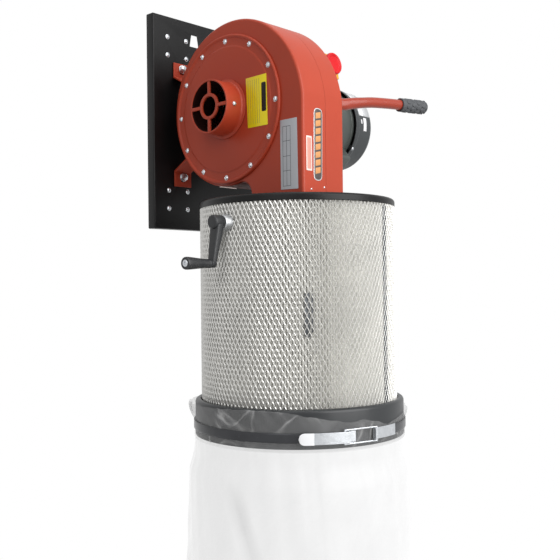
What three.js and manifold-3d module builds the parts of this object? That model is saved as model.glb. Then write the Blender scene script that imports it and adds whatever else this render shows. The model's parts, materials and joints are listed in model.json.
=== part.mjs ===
// A wall-hung dust collector: a blower and motor on a folded wall plate, a pleated canister filter
// with a cleaning crank below the blower, and a film dust bag strapped to the collar under the filter.
//
// Millimetres, +Z up. The wall is the plane Y = 0 and the machine stands out of it towards -Y.
// The origin is the middle of the wall plate; the motor and impeller axis runs along X at Z = 0.
import * as THREE from "three";
import { mergeVertices } from "three/addons/utils/BufferGeometryUtils.js";
import Module from "manifold-3d";

const wasm = await Module();
wasm.setup();

// ---------------------------------------------------------------- driving dimensions

const GAP = 0.3; // between neighbouring pieces
const SIDES = { large: 32, medium: 24, small: 12 }; // flats on round pieces
const SHEET = 2; // steel sheet of the blower casing

const PLATE = { width: 400, height: 434, depth: 20, sheet: 2.5 };
const SLOT = { x: 90, low: 167, high: 192, topWidth: 17, bottomWidth: 26 }; // hanging slots

const AXIS_Y = -191.6; // motor axis to wall
const CASING = { front: -161, seam: -99.5, back: -49, outlet: -180.6 };
const SCROLL = { base: 145, growth: 47.3, power: 1.75, from: 20, to: 270 };
const NECK = { wallSide: -62.4, fillet: 25 }; // wall-side face of the outlet, from the motor axis
const COVER = { radius: 141.5, opening: 124, bore: 50.3, plate: 3.6 };
const INLET = { tip: -207.7, outer: 50, inner: 47, flange: 56 };
const GUARD = { ringOuter: 24.5, ringInner: 18.5, spoke: 6, depth: 4.5 };

const BRACKET = { left: -149, right: -105.5, sheet: 3, reach: 154.6 };
const BRACKETS = [
  { name: "upper", bend: 93.5, end: 124.5, bolt: 113 },
  { name: "lower", bend: -97, end: -129, bolt: -109 },
];
const SADDLE = { x: 60, halfLength: 30, foot: 62, bolts: [-72, 72], sheet: 3, top: 40 };
const BOLT = { hole: 4.6, washer: 9, hex: 7.5, shank: 4 };

const MOTOR = { radius: 79, wall: 3, front: -38, back: 121, shaft: 9.5 };
const SHIELD = { front: -48.7, back: 129, bearing: 20 };
const COWL = { front: 127, back: 186, frontRadius: 87, backRadius: 84.5, wall: 2 };
const STATOR = { radius: 75.5, bore: 45, from: 0, to: 80 };
const IMPELLER = { radius: 118, disc: -66, thickness: 3, bladeDepth: 44, blades: 8, hub: 22, nose: -95 };
const COOLING_FAN = { radius: 79, hub: 22, from: 138, to: 152, blades: 6 };
const CAPACITOR = { half: 15, outer: 110, from: 33, to: 113, below: 49 }; // degrees below the front side

const STOP = { x: 57, y: -280, z: 113, tilt: 9.5, radius: 22.5, stem: 7 }; // mushroom stop
const FLAP = { halfWidth: 27, top: 25, bottom: -24, front: -16, back: -31, wall: 2 };
const SWITCH = { depth: 6, buttonHalf: 9.2, wellHalf: 9.6, start: -10.5, stop: 10.5, boxHalf: 40 };

const HANDLE = { radius: 10, wall: 1.6, gripRadius: 14, gripStart: -8, gripEnd: 64 };
const HANDLE_END = new THREE.Vector3(115, -401.4, 17.4);
const HANDLE_AXIS = new THREE.Vector3(0.983, -0.178, 0.036).normalize();

const CANISTER = { x: -102.5, y: -316, radius: 179, top: -181, bottom: -540, mesh: 1.5 };
const CAP = { skirt: 13, radius: 178.3, sheet: 2 };
const PLEATS = { count: 40, outer: 174, inner: 146, depth: 6 };
const CRANK = { z: -227, hub: 11.8, shaft: 6, arm: 69.8, hubFace: -213.8, hubBase: -191.5 };
const BEATER = { shaft: 7, bottom: -549, flapInner: 112, flapOuter: 136 };

const COLLAR = { radius: 190.6, top: -537, bottom: -601, shelf: -556, shoulder: 6 };
const STRAP = { inner: 192.5, outer: 193.6, z: -582, halfWidth: 8 };
const LATCH = { pivot: -24, pin: 199, bail: -26.4, hook: -7.6, leverTip: -45.5, leverHalf: 9.3 };
const BAG_MOUTH = -541;

// ---------------------------------------------------------------- materials

function finish(color, roughness, metalness) {
  return new THREE.MeshStandardMaterial({ color, roughness, metalness });
}
const redPaint = finish(0xa8402c, 0.42, 0.1);
const blackPaint = finish(0x1d1e20, 0.45, 0.2);
const motorGrey = finish(0x5d615e, 0.45, 0.3);
const cowlGrey = finish(0x4a4d4f, 0.5, 0.2);
const zinc = finish(0xc9ccd0, 0.3, 0.9);
const steel = finish(0x9a9da1, 0.35, 1);
const aluminium = finish(0xb4b7ba, 0.4, 1);
const blackPlastic = finish(0x202122, 0.55, 0);
const rubber = finish(0x2a2b2c, 0.85, 0);
const yellowPlastic = finish(0xe8b21c, 0.4, 0);
const redPlastic = finish(0xe02228, 0.35, 0);
const greenPlastic = finish(0x2a9a48, 0.4, 0);
const galvanised = finish(0xb9b8b2, 0.4, 0.8);
const paper = finish(0xe9e4d3, 0.9, 0);
const collarGrey = finish(0x55585b, 0.45, 0.3);
const film = finish(0xf2f4f6, 0.25, 0);
const foam = finish(0x303133, 0.95, 0);

// ---------------------------------------------------------------- geometry helpers

const radians = THREE.MathUtils.degToRad;
const degrees = THREE.MathUtils.radToDeg;

function positionsOnly(geometry) {
  const bare = geometry.clone();
  bare.deleteAttribute("normal");
  bare.deleteAttribute("uv");
  return mergeVertices(bare, 1e-3);
}

function solidOf(geometry) {
  const merged = positionsOnly(geometry);
  const triVerts = new Uint32Array(merged.index.array);
  const vertProperties = merged.attributes.position.array;
  return new wasm.Manifold(new wasm.Mesh({ numProp: 3, vertProperties, triVerts }));
}

function geometryOf(solid) {
  const mesh = solid.getMesh();
  const geometry = new THREE.BufferGeometry();
  geometry.setAttribute("position", new THREE.BufferAttribute(mesh.vertProperties, 3));
  geometry.setIndex(new THREE.BufferAttribute(mesh.triVerts, 1));
  geometry.computeVertexNormals();
  return geometry;
}

function join(...geometries) {
  return geometryOf(geometries.map(solidOf).reduce((all, one) => all.add(one)));
}

function cut(base, ...tools) {
  return geometryOf(tools.map(solidOf).reduce((left, tool) => left.subtract(tool), solidOf(base)));
}

// A box between two limits on each axis.
function block([x0, x1], [y0, y1], [z0, z1]) {
  const geometry = new THREE.BoxGeometry(x1 - x0, y1 - y0, z1 - z0);
  return geometry.translate((x0 + x1) / 2, (y0 + y1) / 2, (z0 + z1) / 2);
}

// Turns a geometry made along +Y so that it runs along the named axis.
function pointAlong(geometry, axis) {
  if (axis === "x") geometry.rotateZ(-Math.PI / 2);
  if (axis === "z") geometry.rotateX(Math.PI / 2);
  return geometry;
}

// A round bar along an axis, through the point `at`.
function rod(axis, radius, [from, to], at = [0, 0, 0], sides = SIDES.small) {
  const geometry = new THREE.CylinderGeometry(radius, radius, to - from, sides);
  geometry.translate(0, (from + to) / 2, 0);
  return pointAlong(geometry, axis).translate(...at);
}

// A solid of revolution about an axis, from a closed or axis-to-axis profile of [radius, height].
function turned(axis, profile, sides = SIDES.large, at = [0, 0, 0]) {
  const area = profile.reduce((sum, [r, h], i) => {
    const [nextR, nextH] = profile[(i + 1) % profile.length];
    return sum + r * nextH - nextR * h;
  }, 0);
  const ordered = area > 0 ? profile : [...profile].reverse();
  const points = ordered.map(([r, h]) => new THREE.Vector2(r, h));
  const closed = ordered[0][0] > 0 || ordered[ordered.length - 1][0] > 0;
  if (closed) points.push(points[0].clone());
  return pointAlong(new THREE.LatheGeometry(points, sides), axis).translate(...at);
}

// A ring between two radii.
function ring(axis, outer, inner, [from, to], sides = SIDES.large, at = [0, 0, 0]) {
  return turned(axis, [[inner, from], [outer, from], [outer, to], [inner, to]], sides, at);
}

// An outline extruded along an axis: in (y, z) along x, in (x, z) along y, in (x, y) along z.
function extruded(axis, outline, [from, to]) {
  const listed = Array.isArray(outline);
  const shape = listed ? new THREE.Shape(outline.map((p) => new THREE.Vector2(...p))) : outline;
  const geometry = new THREE.ExtrudeGeometry(shape, { depth: to - from, bevelEnabled: false });
  if (axis === "x") {
    const turn = new THREE.Matrix4().makeBasis(
      new THREE.Vector3(0, 1, 0),
      new THREE.Vector3(0, 0, 1),
      new THREE.Vector3(1, 0, 0),
    );
    return geometry.applyMatrix4(turn).translate(from, 0, 0);
  }
  if (axis === "y") return geometry.rotateX(Math.PI / 2).translate(0, to, 0);
  return geometry.translate(0, 0, from);
}

// Points of an arc in a plane, angles in degrees.
function arcPoints(centre, radius, fromDegrees, toDegrees, steps) {
  return Array.from({ length: steps + 1 }, (_, i) => {
    const angle = radians(fromDegrees + ((toDegrees - fromDegrees) * i) / steps);
    return [centre[0] + radius * Math.cos(angle), centre[1] + radius * Math.sin(angle)];
  });
}

// ---------------------------------------------------------------- scene graph helpers

const dustCollector = new THREE.Group();
dustCollector.name = "dust_collector";

function addGroup(parent, x = 0, y = 0, z = 0) {
  const group = new THREE.Group();
  group.position.set(x, y, z);
  parent.add(group);
  return group;
}

function add(parent, name, geometry, material) {
  const mesh = new THREE.Mesh(geometry, material);
  mesh.name = name;
  parent.add(mesh);
  return mesh;
}

// ---------------------------------------------------------------- wall plate and brackets

function wallPlate() {
  const { width, height, depth, sheet } = PLATE;
  const halfX = width / 2;
  const halfZ = height / 2;
  const tray = block([-halfX, halfX], [-depth, 0], [-halfZ, halfZ]);
  const hollow = block([sheet - halfX, halfX - sheet], [sheet - depth, 1], [sheet - halfZ, halfZ - sheet]);
  const slots = [-1, 1].map((side) => {
    const outline = [
      [side * SLOT.x - SLOT.bottomWidth / 2, SLOT.low],
      [side * SLOT.x + SLOT.bottomWidth / 2, SLOT.low],
      [side * SLOT.x + SLOT.topWidth / 2, SLOT.high],
      [side * SLOT.x - SLOT.topWidth / 2, SLOT.high],
    ];
    return extruded("y", outline, [-depth - 1, 1]);
  });
  const boltX = (BRACKET.left + BRACKET.right) / 2;
  const holes = BRACKETS.map(({ bolt }) => rod("y", BOLT.hole, [-depth - 1, 1], [boltX, 0, bolt], 12));
  const saddleHoles = SADDLE.bolts.map((z) => rod("y", BOLT.hole, [-depth - 1, 1], [SADDLE.x, 0, z], 12));
  return cut(tray, hollow, ...slots, ...holes, ...saddleHoles);
}

// An angle bracket: one leg flat on the plate, the other running towards the motor axis.
function bracketGeometry({ bend, end, bolt }) {
  const face = -PLATE.depth - GAP;
  const towards = new THREE.Vector2(AXIS_Y - face, -bend).normalize();
  const length = Math.hypot(AXIS_Y - face, bend) - BRACKET.reach;
  const across = new THREE.Vector2(-towards.y, towards.x).multiplyScalar(Math.sign(bend) * BRACKET.sheet);
  const tip = [face + towards.x * length, bend + towards.y * length];
  const outline = [
    [face, end],
    [face, bend],
    tip,
    [tip[0] - across.x, tip[1] - across.y],
    [face - BRACKET.sheet, bend + Math.sign(bend) * 2.2],
    [face - BRACKET.sheet, end],
  ];
  const angle = extruded("x", outline, [BRACKET.left, BRACKET.right]);
  const x = (BRACKET.left + BRACKET.right) / 2;
  const slot = block([x - 4.6, x + 4.6], [face - 9, face + 1], [bolt - 10, bolt + 7]);
  return cut(angle, slot);
}

// A hex bolt through a bracket and the wall plate, with its washer and nut.
function wallBolt(x, z, sheet) {
  const front = -PLATE.depth - GAP - sheet - GAP;
  const at = [x, 0, z];
  return join(
    rod("y", BOLT.washer, [front - 1.6, front], at),
    rod("y", BOLT.hex, [front - 7, front - 1.5], at, 6),
    rod("y", BOLT.shank, [front - 1, -4], at, 8),
    rod("y", BOLT.hex, [-PLATE.depth + PLATE.sheet + GAP, -10.5], at, 6),
  );
}

// A bent channel that carries the motor: two feet on the plate and a seat that follows the motor's curve.
function motorSaddle() {
  const face = -PLATE.depth - GAP;
  const spread = degrees(Math.asin(SADDLE.top / (MOTOR.radius + GAP)));
  const seat = arcPoints([AXIS_Y, 0], MOTOR.radius + 2 * GAP, -spread, spread, 8);
  const back = arcPoints([AXIS_Y, 0], MOTOR.radius + GAP + SADDLE.sheet, spread - 2, 2 - spread, 8);
  const outer = SADDLE.foot + 22;
  const outline = [
    ...seat,
    [face - SADDLE.sheet, SADDLE.foot],
    [face - SADDLE.sheet, outer],
    [face, outer],
    [face, SADDLE.foot - SADDLE.sheet],
    ...back,
    [face, SADDLE.sheet - SADDLE.foot],
    [face, -outer],
    [face - SADDLE.sheet, -outer],
    [face - SADDLE.sheet, -SADDLE.foot],
  ];
  const limits = [SADDLE.x - SADDLE.halfLength, SADDLE.x + SADDLE.halfLength];
  const holes = SADDLE.bolts.map((z) => rod("y", BOLT.hole, [face - 9, face + 1], [SADDLE.x, 0, z], 12));
  return cut(extruded("x", outline, limits), ...holes);
}

function addWallPlate(parent) {
  add(parent, "wall_plate", wallPlate(), blackPaint);
  const boltX = (BRACKET.left + BRACKET.right) / 2;
  for (const bracket of BRACKETS) {
    add(parent, `blower_bracket_${bracket.name}`, bracketGeometry(bracket), redPaint);
    add(parent, `bracket_bolt_${bracket.name}`, wallBolt(boltX, bracket.bolt, BRACKET.sheet), zinc);
  }
  add(parent, "motor_saddle", motorSaddle(), blackPaint);
  add(parent, "saddle_bolt_lower", wallBolt(SADDLE.x, SADDLE.bolts[0], SADDLE.sheet), zinc);
  add(parent, "saddle_bolt_upper", wallBolt(SADDLE.x, SADDLE.bolts[1], SADDLE.sheet), zinc);
}

// ---------------------------------------------------------------- blower casing

// Radius of the scroll at an angle from straight down, growing by way of the wall side and the top.
function scrollRadius(angle) {
  const share = Math.max(0, angle - SCROLL.from) / (SCROLL.to - SCROLL.from);
  return SCROLL.base + SCROLL.growth * share ** SCROLL.power;
}

// Outline of scroll and outlet neck in (y, z) about the motor axis, moved inwards by `inset`.
function casingOutline(inset, outlet) {
  const filletY = NECK.wallSide + NECK.fillet;
  const filletZ = -Math.sqrt((SCROLL.base + NECK.fillet) ** 2 - filletY ** 2);
  const tongue = degrees(Math.atan2(filletY, -filletZ));
  const neckFront = -scrollRadius(SCROLL.to) + inset;
  const steps = 32;
  const scroll = Array.from({ length: steps }, (_, i) => {
    const angle = tongue + 2 + ((SCROLL.to - tongue - 2) * (i + 1)) / steps;
    const radius = scrollRadius(angle) - inset;
    return [radius * Math.sin(radians(angle)), -radius * Math.cos(radians(angle))];
  });
  return [
    [NECK.wallSide - inset, outlet],
    ...arcPoints([filletY, filletZ], NECK.fillet + inset, 180, 90 + tongue + 1, 6),
    ...scroll,
    [neckFront, outlet],
  ];
}

function casingShell(from, to, hollowFrom, hollowTo, opening) {
  const shell = extruded("x", casingOutline(0, CASING.outlet), [from, to]);
  const hollow = extruded("x", casingOutline(SHEET, CASING.outlet - 5), [hollowFrom, hollowTo]);
  return cut(shell, hollow, rod("x", opening, [from - 5, to + 5], [0, 0, 0], SIDES.large));
}

function inletCover() {
  const { radius, bore, plate } = COVER;
  const face = CASING.front - GAP;
  return turned("x", [
    [bore, face], [bore, face - plate], [118, face - plate], [120.5, face - 2], [134, face - 2],
    [137, face - 4.5], [radius, face - 2.5], [radius, face],
  ]);
}

function inletTube() {
  const { tip, outer, inner, flange } = INLET;
  const seat = CASING.front - GAP - COVER.plate - GAP;
  return turned("x", [
    [inner, tip], [outer, tip], [outer, seat - 5], [flange, seat - 2.2],
    [flange, seat], [outer, seat], [outer, CASING.front + 2], [inner, CASING.front + 2],
  ]);
}

function inletGuard() {
  const limits = [INLET.tip + 0.2, INLET.tip + 0.2 + GUARD.depth];
  const reach = INLET.inner - GAP;
  const half = GUARD.spoke / 2;
  const inner = GUARD.ringOuter - 1;
  const spokes = [
    block(limits, [inner, reach - 0.2], [-half, half]),
    block(limits, [0.2 - reach, -inner], [-half, half]),
    block(limits, [-half, half], [inner, reach - 0.2]),
    block(limits, [-half, half], [0.2 - reach, -inner]),
  ];
  return join(ring("x", GUARD.ringOuter, GUARD.ringInner, limits, SIDES.medium), ...spokes);
}

function addBlower(parent) {
  const { front, seam, back } = CASING;
  const frontShell = casingShell(front, seam - GAP / 2, front + SHEET, seam + 5, COVER.opening);
  const backShell = casingShell(seam + GAP / 2, back, seam - 5, back - SHEET, 30);
  add(parent, "casing_front", frontShell, redPaint);
  add(parent, "casing_back", backShell, redPaint);
  add(parent, "inlet_cover", inletCover(), redPaint);
  add(parent, "inlet_tube", inletTube(), redPaint);
  add(parent, "inlet_guard", inletGuard(), redPaint);
  const screwAt = [INLET.tip + 18.7, 0, 0];
  add(parent, "guard_screw", turned("y", [
    [0, -INLET.outer - 3.2], [2.4, -INLET.outer - 3.2], [4.2, -INLET.outer - 1.2],
    [4.2, -INLET.outer - GAP], [0, -INLET.outer - GAP],
  ], SIDES.small, screwAt), zinc);
}

// ---------------------------------------------------------------- motor

function shieldGeometry(from, to, seatFrom, seatTo) {
  const plate = rod("x", MOTOR.radius, [from, to], [0, 0, 0], SIDES.large);
  const bore = rod("x", MOTOR.shaft + 2, [from - 1, to + 1]);
  const seat = rod("x", SHIELD.bearing + 2 * GAP, [seatFrom, seatTo]);
  return cut(plate, bore, seat);
}

function fanCowl() {
  const { front, back, frontRadius, backRadius, wall } = COWL;
  const shell = turned("x", [
    [frontRadius - wall, front], [frontRadius, front], [frontRadius, front + 10], [backRadius, front + 14],
    [backRadius, back - 8], [backRadius - 8, back], [0, back], [0, back - wall],
    [backRadius - 9, back - wall], [backRadius - wall, back - 9],
  ]);
  const grille = [];
  const slotCircle = 48;
  for (let i = 0; i < 8; i += 1) {
    const slot = block([back - 12, back + 1], [slotCircle - 20, slotCircle + 20], [-4, 4]);
    grille.push(slot.rotateX(radians(22.5 + 45 * i)));
  }
  const lugs = [-35, 85, 205].map((angle) => {
    const lug = block([front, front + 2.4], [-frontRadius + 1, -MOTOR.radius - GAP], [-5, 5]);
    return lug.rotateX(radians(-angle));
  });
  return join(cut(shell, ...grille), ...lugs);
}

// The box low on the motor's front side, with a seat that follows the motor's curve.
function capacitorBox() {
  const { half, outer, from, to, below } = CAPACITOR;
  const spread = degrees(Math.asin(half / (MOTOR.radius + GAP)));
  const outline = [
    ...arcPoints([0, 0], MOTOR.radius + GAP, 180 + spread, 180 - spread, 4),
    [4 - outer, half], [-outer, half - 4], [-outer, 4 - half], [4 - outer, -half],
  ];
  return extruded("x", outline, [from, to]).rotateX(radians(below));
}

function impeller() {
  const { radius, disc, thickness, bladeDepth, blades, hub, nose } = IMPELLER;
  const pieces = [
    ring("x", radius, hub - 2, [disc, disc + thickness]),
    ring("x", hub, MOTOR.shaft + GAP, [nose, disc + thickness], SIDES.small),
  ];
  for (let i = 0; i < blades; i += 1) {
    const blade = block([disc - bladeDepth, disc + 0.5], [-1.5, 1.5], [hub + 14, radius - 1]);
    blade.rotateX(radians(-18)).translate(0, -14, 0);
    pieces.push(blade.rotateX(radians((360 / blades) * i)));
  }
  return join(...pieces);
}

function coolingFan() {
  const { radius, hub, from, to, blades } = COOLING_FAN;
  const pieces = [
    ring("x", hub, MOTOR.shaft + GAP, [from, to], SIDES.small),
    ring("x", radius, hub - 2, [from, from + 2.5], SIDES.medium),
  ];
  for (let i = 0; i < blades; i += 1) {
    const blade = block([from + 2, to], [-1.2, 1.2], [hub - 2, radius - 1]);
    pieces.push(blade.rotateX(radians((360 / blades) * i)));
  }
  return join(...pieces);
}

function addMotor(parent) {
  const front = shieldGeometry(SHIELD.front, MOTOR.front - GAP, SHIELD.front - 1, SHIELD.front + 8);
  const back = shieldGeometry(MOTOR.back + GAP, SHIELD.back, MOTOR.back - 1, SHIELD.back - 1.7);
  add(parent, "motor_flange", front, motorGrey);
  const body = ring("x", MOTOR.radius, MOTOR.radius - MOTOR.wall, [MOTOR.front, MOTOR.back]);
  add(parent, "motor_body", body, motorGrey);
  add(parent, "motor_rear_shield", back, motorGrey);
  add(parent, "fan_cowl", fanCowl(), cowlGrey);
  add(parent, "capacitor_box", capacitorBox(), motorGrey);
  const stack = [STATOR.from, STATOR.to];
  add(parent, "stator", ring("x", STATOR.radius, STATOR.bore, stack, SIDES.medium), steel);
  const bearingBore = MOTOR.shaft + GAP;
  const frontBearing = [SHIELD.front + 0.2, SHIELD.front + 7.6];
  const rearBearing = [MOTOR.back + 0.2, SHIELD.back - 2];
  add(parent, "front_bearing", ring("x", SHIELD.bearing, bearingBore, frontBearing, SIDES.small), steel);
  add(parent, "rear_bearing", ring("x", SHIELD.bearing, bearingBore, rearBearing, SIDES.small), steel);
  add(parent, "motor_shaft", rod("x", MOTOR.shaft, [IMPELLER.nose - 1, 155]), steel);
  const core = ring("x", STATOR.bore - 1, MOTOR.shaft + GAP, stack, SIDES.medium);
  add(parent, "rotor_core", core, steel);
  add(parent, "impeller", impeller(), aluminium);
  add(parent, "impeller_nut", rod("x", 11, [IMPELLER.nose - 10, IMPELLER.nose - 1.3], [0, 0, 0], 6), zinc);
  add(parent, "cooling_fan", coolingFan(), blackPlastic);
}

// ---------------------------------------------------------------- switch

// The switch is built facing -Y about the mushroom's face, then tilted back.
function addSwitch(parent) {
  add(parent, "terminal_box", terminalBox(), blackPlastic);
  add(parent, "cable_gland", cableGland(), blackPlastic);
  const face = addGroup(parent, STOP.x, STOP.y, STOP.z);
  face.rotation.x = radians(-STOP.tilt);
  add(face, "switch_base", switchBase(), blackPlastic);
  add(face, "start_button", switchButton(SWITCH.start), greenPlastic);
  add(face, "stop_button", switchButton(SWITCH.stop), redPlastic);
  add(face, "switch_flap", switchFlap(), yellowPlastic);
  add(face, "stop_mushroom", stopMushroom(), redPlastic);
}

// The plate behind the flap, with the flap's hinge above and a well for each button.
function switchBase() {
  const { halfWidth, top, bottom, back } = FLAP;
  const seat = -back;
  const base = join(
    block([-halfWidth - 4, halfWidth + 4], [seat + GAP, seat + SWITCH.depth], [bottom - 4, top + 4]),
    block([-20, 20], [seat - 4, seat + 1], [bottom + 2.5, top - 3]),
    rod("x", 2.2, [6 - halfWidth, halfWidth - 6], [0, seat - 2.4, top + 2.6], 12),
    block([8 - halfWidth, halfWidth - 8], [seat - 2.4, seat + 1], [top + 1.4, top + 3.8]),
  );
  const wells = [SWITCH.start, SWITCH.stop].map((z) => (
    block([-13, 13], [seat - 9, seat + 4], [z - SWITCH.wellHalf, z + SWITCH.wellHalf])
  ));
  return cut(base, ...wells);
}

function switchButton(z) {
  const half = SWITCH.buttonHalf;
  return block([-12.6, 12.6], [-FLAP.back - 6, -FLAP.back + 0.5], [z - half, z + half]);
}

// The box on top of the motor, with a front tilted like the switch that it carries.
function terminalBox() {
  const tilt = radians(STOP.tilt);
  const frontOffset = -FLAP.back + SWITCH.depth + GAP;
  const edge = (height) => [
    STOP.y + frontOffset * Math.cos(tilt) + height * Math.sin(tilt),
    STOP.z - frontOffset * Math.sin(tilt) + height * Math.cos(tilt),
  ];
  const seat = arcPoints([AXIS_Y, 0], MOTOR.radius + 2 * GAP, 130, 60, 8);
  const [topY, topZ] = edge(FLAP.top + 5);
  const [backY] = seat[8];
  const lid = [[backY, topZ - 4], [backY - 4, topZ], [topY + 1, topZ], [topY, topZ - 1]];
  const outline = [edge(-46), ...seat, ...lid].reverse();
  return extruded("x", outline, [STOP.x - SWITCH.boxHalf, STOP.x + SWITCH.boxHalf]);
}

function cableGland() {
  const wall = STOP.x + SWITCH.boxHalf + GAP;
  const at = [0, -190, 112];
  const hex = rod("x", 11, [wall, wall + 6], at, 6);
  const dome = turned("x", [
    [0, wall + 5], [9, wall + 5], [9, wall + 14], [6.5, wall + 19], [0, wall + 19],
  ], SIDES.small, at);
  return cut(join(hex, dome), rod("x", 4, [wall + 1, wall + 20], at, 12));
}

function switchFlap() {
  const { halfWidth, top, bottom, front, back, wall } = FLAP;
  const shell = block([-halfWidth, halfWidth], [-front, -back], [bottom, top]);
  const hollow = block(
    [wall - halfWidth, halfWidth - wall], [-front + wall, -back + 1], [bottom + wall, top - wall]);
  const stem = rod("y", STOP.stem + 0.5, [-front - 1, -front + 9]);
  return cut(shell, hollow, stem);
}

function stopMushroom() {
  const { radius, stem } = STOP;
  return turned("y", [
    [0, 3], [radius - 11, 2.2], [radius - 5, 0.6], [radius - 2.5, 0], [radius, 3], [radius, 8],
    [radius - 3, 11], [stem, 11.4], [stem, 20.4], [0, 20.4],
  ], SIDES.medium);
}

// ---------------------------------------------------------------- handle

function handlePath() {
  const points = [
    [-46.3, -372.4, 0.1], [-33, -375, 1], [-15, -378, 5], [8, -382, 9], [36, -387, 13],
    [70, -393, 15.5], [97, -398, 16.8], HANDLE_END.toArray(),
  ];
  return new THREE.CatmullRomCurve3(points.map((p) => new THREE.Vector3(...p)));
}

function roundSection(radius, hole) {
  const shape = new THREE.Shape().absarc(0, 0, radius, 0, 2 * Math.PI, false);
  if (hole) shape.holes.push(new THREE.Path().absarc(0, 0, hole, 0, 2 * Math.PI, true));
  return shape;
}

function handleTube() {
  const section = roundSection(HANDLE.radius, HANDLE.radius - HANDLE.wall);
  return new THREE.ExtrudeGeometry(section, { steps: 8, curveSegments: 6, extrudePath: handlePath() });
}

function handleGrip() {
  const { gripRadius, gripStart, gripEnd, radius } = HANDLE;
  const bore = radius + 1;
  const grip = turned("y", [
    [bore, gripStart], [gripRadius, gripStart], [gripRadius, gripEnd - 4], [gripRadius - 4, gripEnd],
    [0, gripEnd], [0, 2], [bore, 2],
  ], SIDES.small);
  grip.applyQuaternion(new THREE.Quaternion().setFromUnitVectors(new THREE.Vector3(0, 1, 0), HANDLE_AXIS));
  return grip.translate(...HANDLE_END.toArray());
}

function addHandle(parent) {
  add(parent, "handle_tube", handleTube(), redPaint);
  add(parent, "handle_grip", handleGrip(), rubber);
}

// ---------------------------------------------------------------- canister filter

// The outlet neck in the canister's own frame, whose origin is on the canister axis.
function neckLimits(inset) {
  return [
    [CASING.front - CANISTER.x + inset, CASING.back - CANISTER.x - inset],
    [AXIS_Y - scrollRadius(SCROLL.to) - CANISTER.y + inset, AXIS_Y + NECK.wallSide - CANISTER.y - inset],
  ];
}

function canisterCap() {
  const { top } = CANISTER;
  const lid = turned("z", [
    [0, top], [CAP.radius - 3, top], [CAP.radius, top - 3],
    [CAP.radius, top - CAP.skirt], [CAP.radius - CAP.sheet, top - CAP.skirt],
    [CAP.radius - CAP.sheet, top - CAP.sheet], [0, top - CAP.sheet],
  ]);
  const [outerX, outerY] = neckLimits(SHEET + GAP);
  const [innerX, innerY] = neckLimits(2 * SHEET + GAP);
  const spigot = block(outerX, outerY, [top - 1, top + 16]);
  return cut(join(lid, spigot), block(innerX, innerY, [top - 10, top + 20]));
}

function filterMesh() {
  const { radius, mesh, top, bottom } = CANISTER;
  const jacket = ring("z", radius, radius - mesh, [bottom, top - CAP.skirt - GAP]);
  return cut(jacket, rod("x", 15.6, [-radius - 5, -radius + 8], [0, 0, CRANK.z], 16));
}

function filterPleats() {
  const { count, outer, inner, depth } = PLEATS;
  const zigzag = (shift) => Array.from({ length: 2 * count }, (_, i) => {
    const radius = (i % 2 ? inner : outer) - shift;
    const angle = (Math.PI * i) / count;
    return new THREE.Vector2(radius * Math.cos(angle), radius * Math.sin(angle));
  });
  const shape = new THREE.Shape(zigzag(0));
  shape.holes.push(new THREE.Path(zigzag(depth).reverse()));
  const pleats = extruded("z", shape, [CANISTER.bottom + GAP, CANISTER.top - CAP.skirt - 2]);
  return cut(pleats, rod("x", 12.6, [-outer - 5, -inner + depth + 5], [0, 0, CRANK.z], 16));
}

function crankBush() {
  const out = CRANK.hubBase + GAP;
  return turned("x", [
    [CRANK.shaft + GAP, out], [12.5, out], [15, -178], [15, -176.5], [12, -176.5], [12, -134],
    [CRANK.shaft + GAP, -134],
  ], SIDES.small, [0, 0, CRANK.z]);
}

// The frame that hangs the bevel gears under the cap.
function gearFrame() {
  const cheek = 20;
  const under = CANISTER.top - CAP.sheet - GAP;
  const bar = -199;
  const low = -250;
  const frame = join(
    block([-10, 10], [-136, 136], [bar, bar + 3]),
    block([-10, 10], [-136, -133], [bar, under]),
    block([-10, 10], [133, 136], [bar, under]),
    block([-30, 20], [-cheek - 3, -cheek], [low, bar + 3]),
    block([-30, 20], [cheek, cheek + 3], [low, bar + 3]),
    block([-30, 20], [-cheek - 3, cheek + 3], [bar, bar + 3]),
    block([-30, 20], [-cheek - 3, cheek + 3], [low, low + 3]),
    block([-30, -27], [-cheek - 3, cheek + 3], [low, bar + 3]),
  );
  const shaftHole = rod("x", CRANK.shaft + 0.5, [-40, -20], [0, 0, CRANK.z]);
  return cut(frame, shaftHole, rod("z", BEATER.shaft + 0.5, [low - 5, low + 5]));
}

function lowerSpider() {
  const pieces = [rod("z", 14, [-549.5, -543])];
  for (let i = 0; i < 3; i += 1) {
    const arm = block([10, 138.5], [-6, 6], [-549.5, -546.5]);
    pieces.push(arm.rotateZ(radians(30 + 120 * i)));
  }
  return cut(join(...pieces), rod("z", BEATER.shaft + 0.5, [-546, -540]));
}

function addCanister(parent) {
  add(parent, "canister_cap", canisterCap(), blackPaint);
  add(parent, "filter_mesh", filterMesh(), galvanised);
  add(parent, "filter_pleats", filterPleats(), paper);
  add(parent, "filter_bottom_ring", ring("z", 178.7, 140, [-550, CANISTER.bottom - GAP]), blackPaint);
  add(parent, "filter_gasket", ring("z", 177, 152, [COLLAR.shelf + GAP, -550 - GAP]), foam);
  add(parent, "crank_bush", crankBush(), aluminium);
  add(parent, "gear_frame", gearFrame(), blackPaint);
  add(parent, "lower_spider", lowerSpider(), blackPaint);
}

// ---------------------------------------------------------------- cleaning crank and beater

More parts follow.
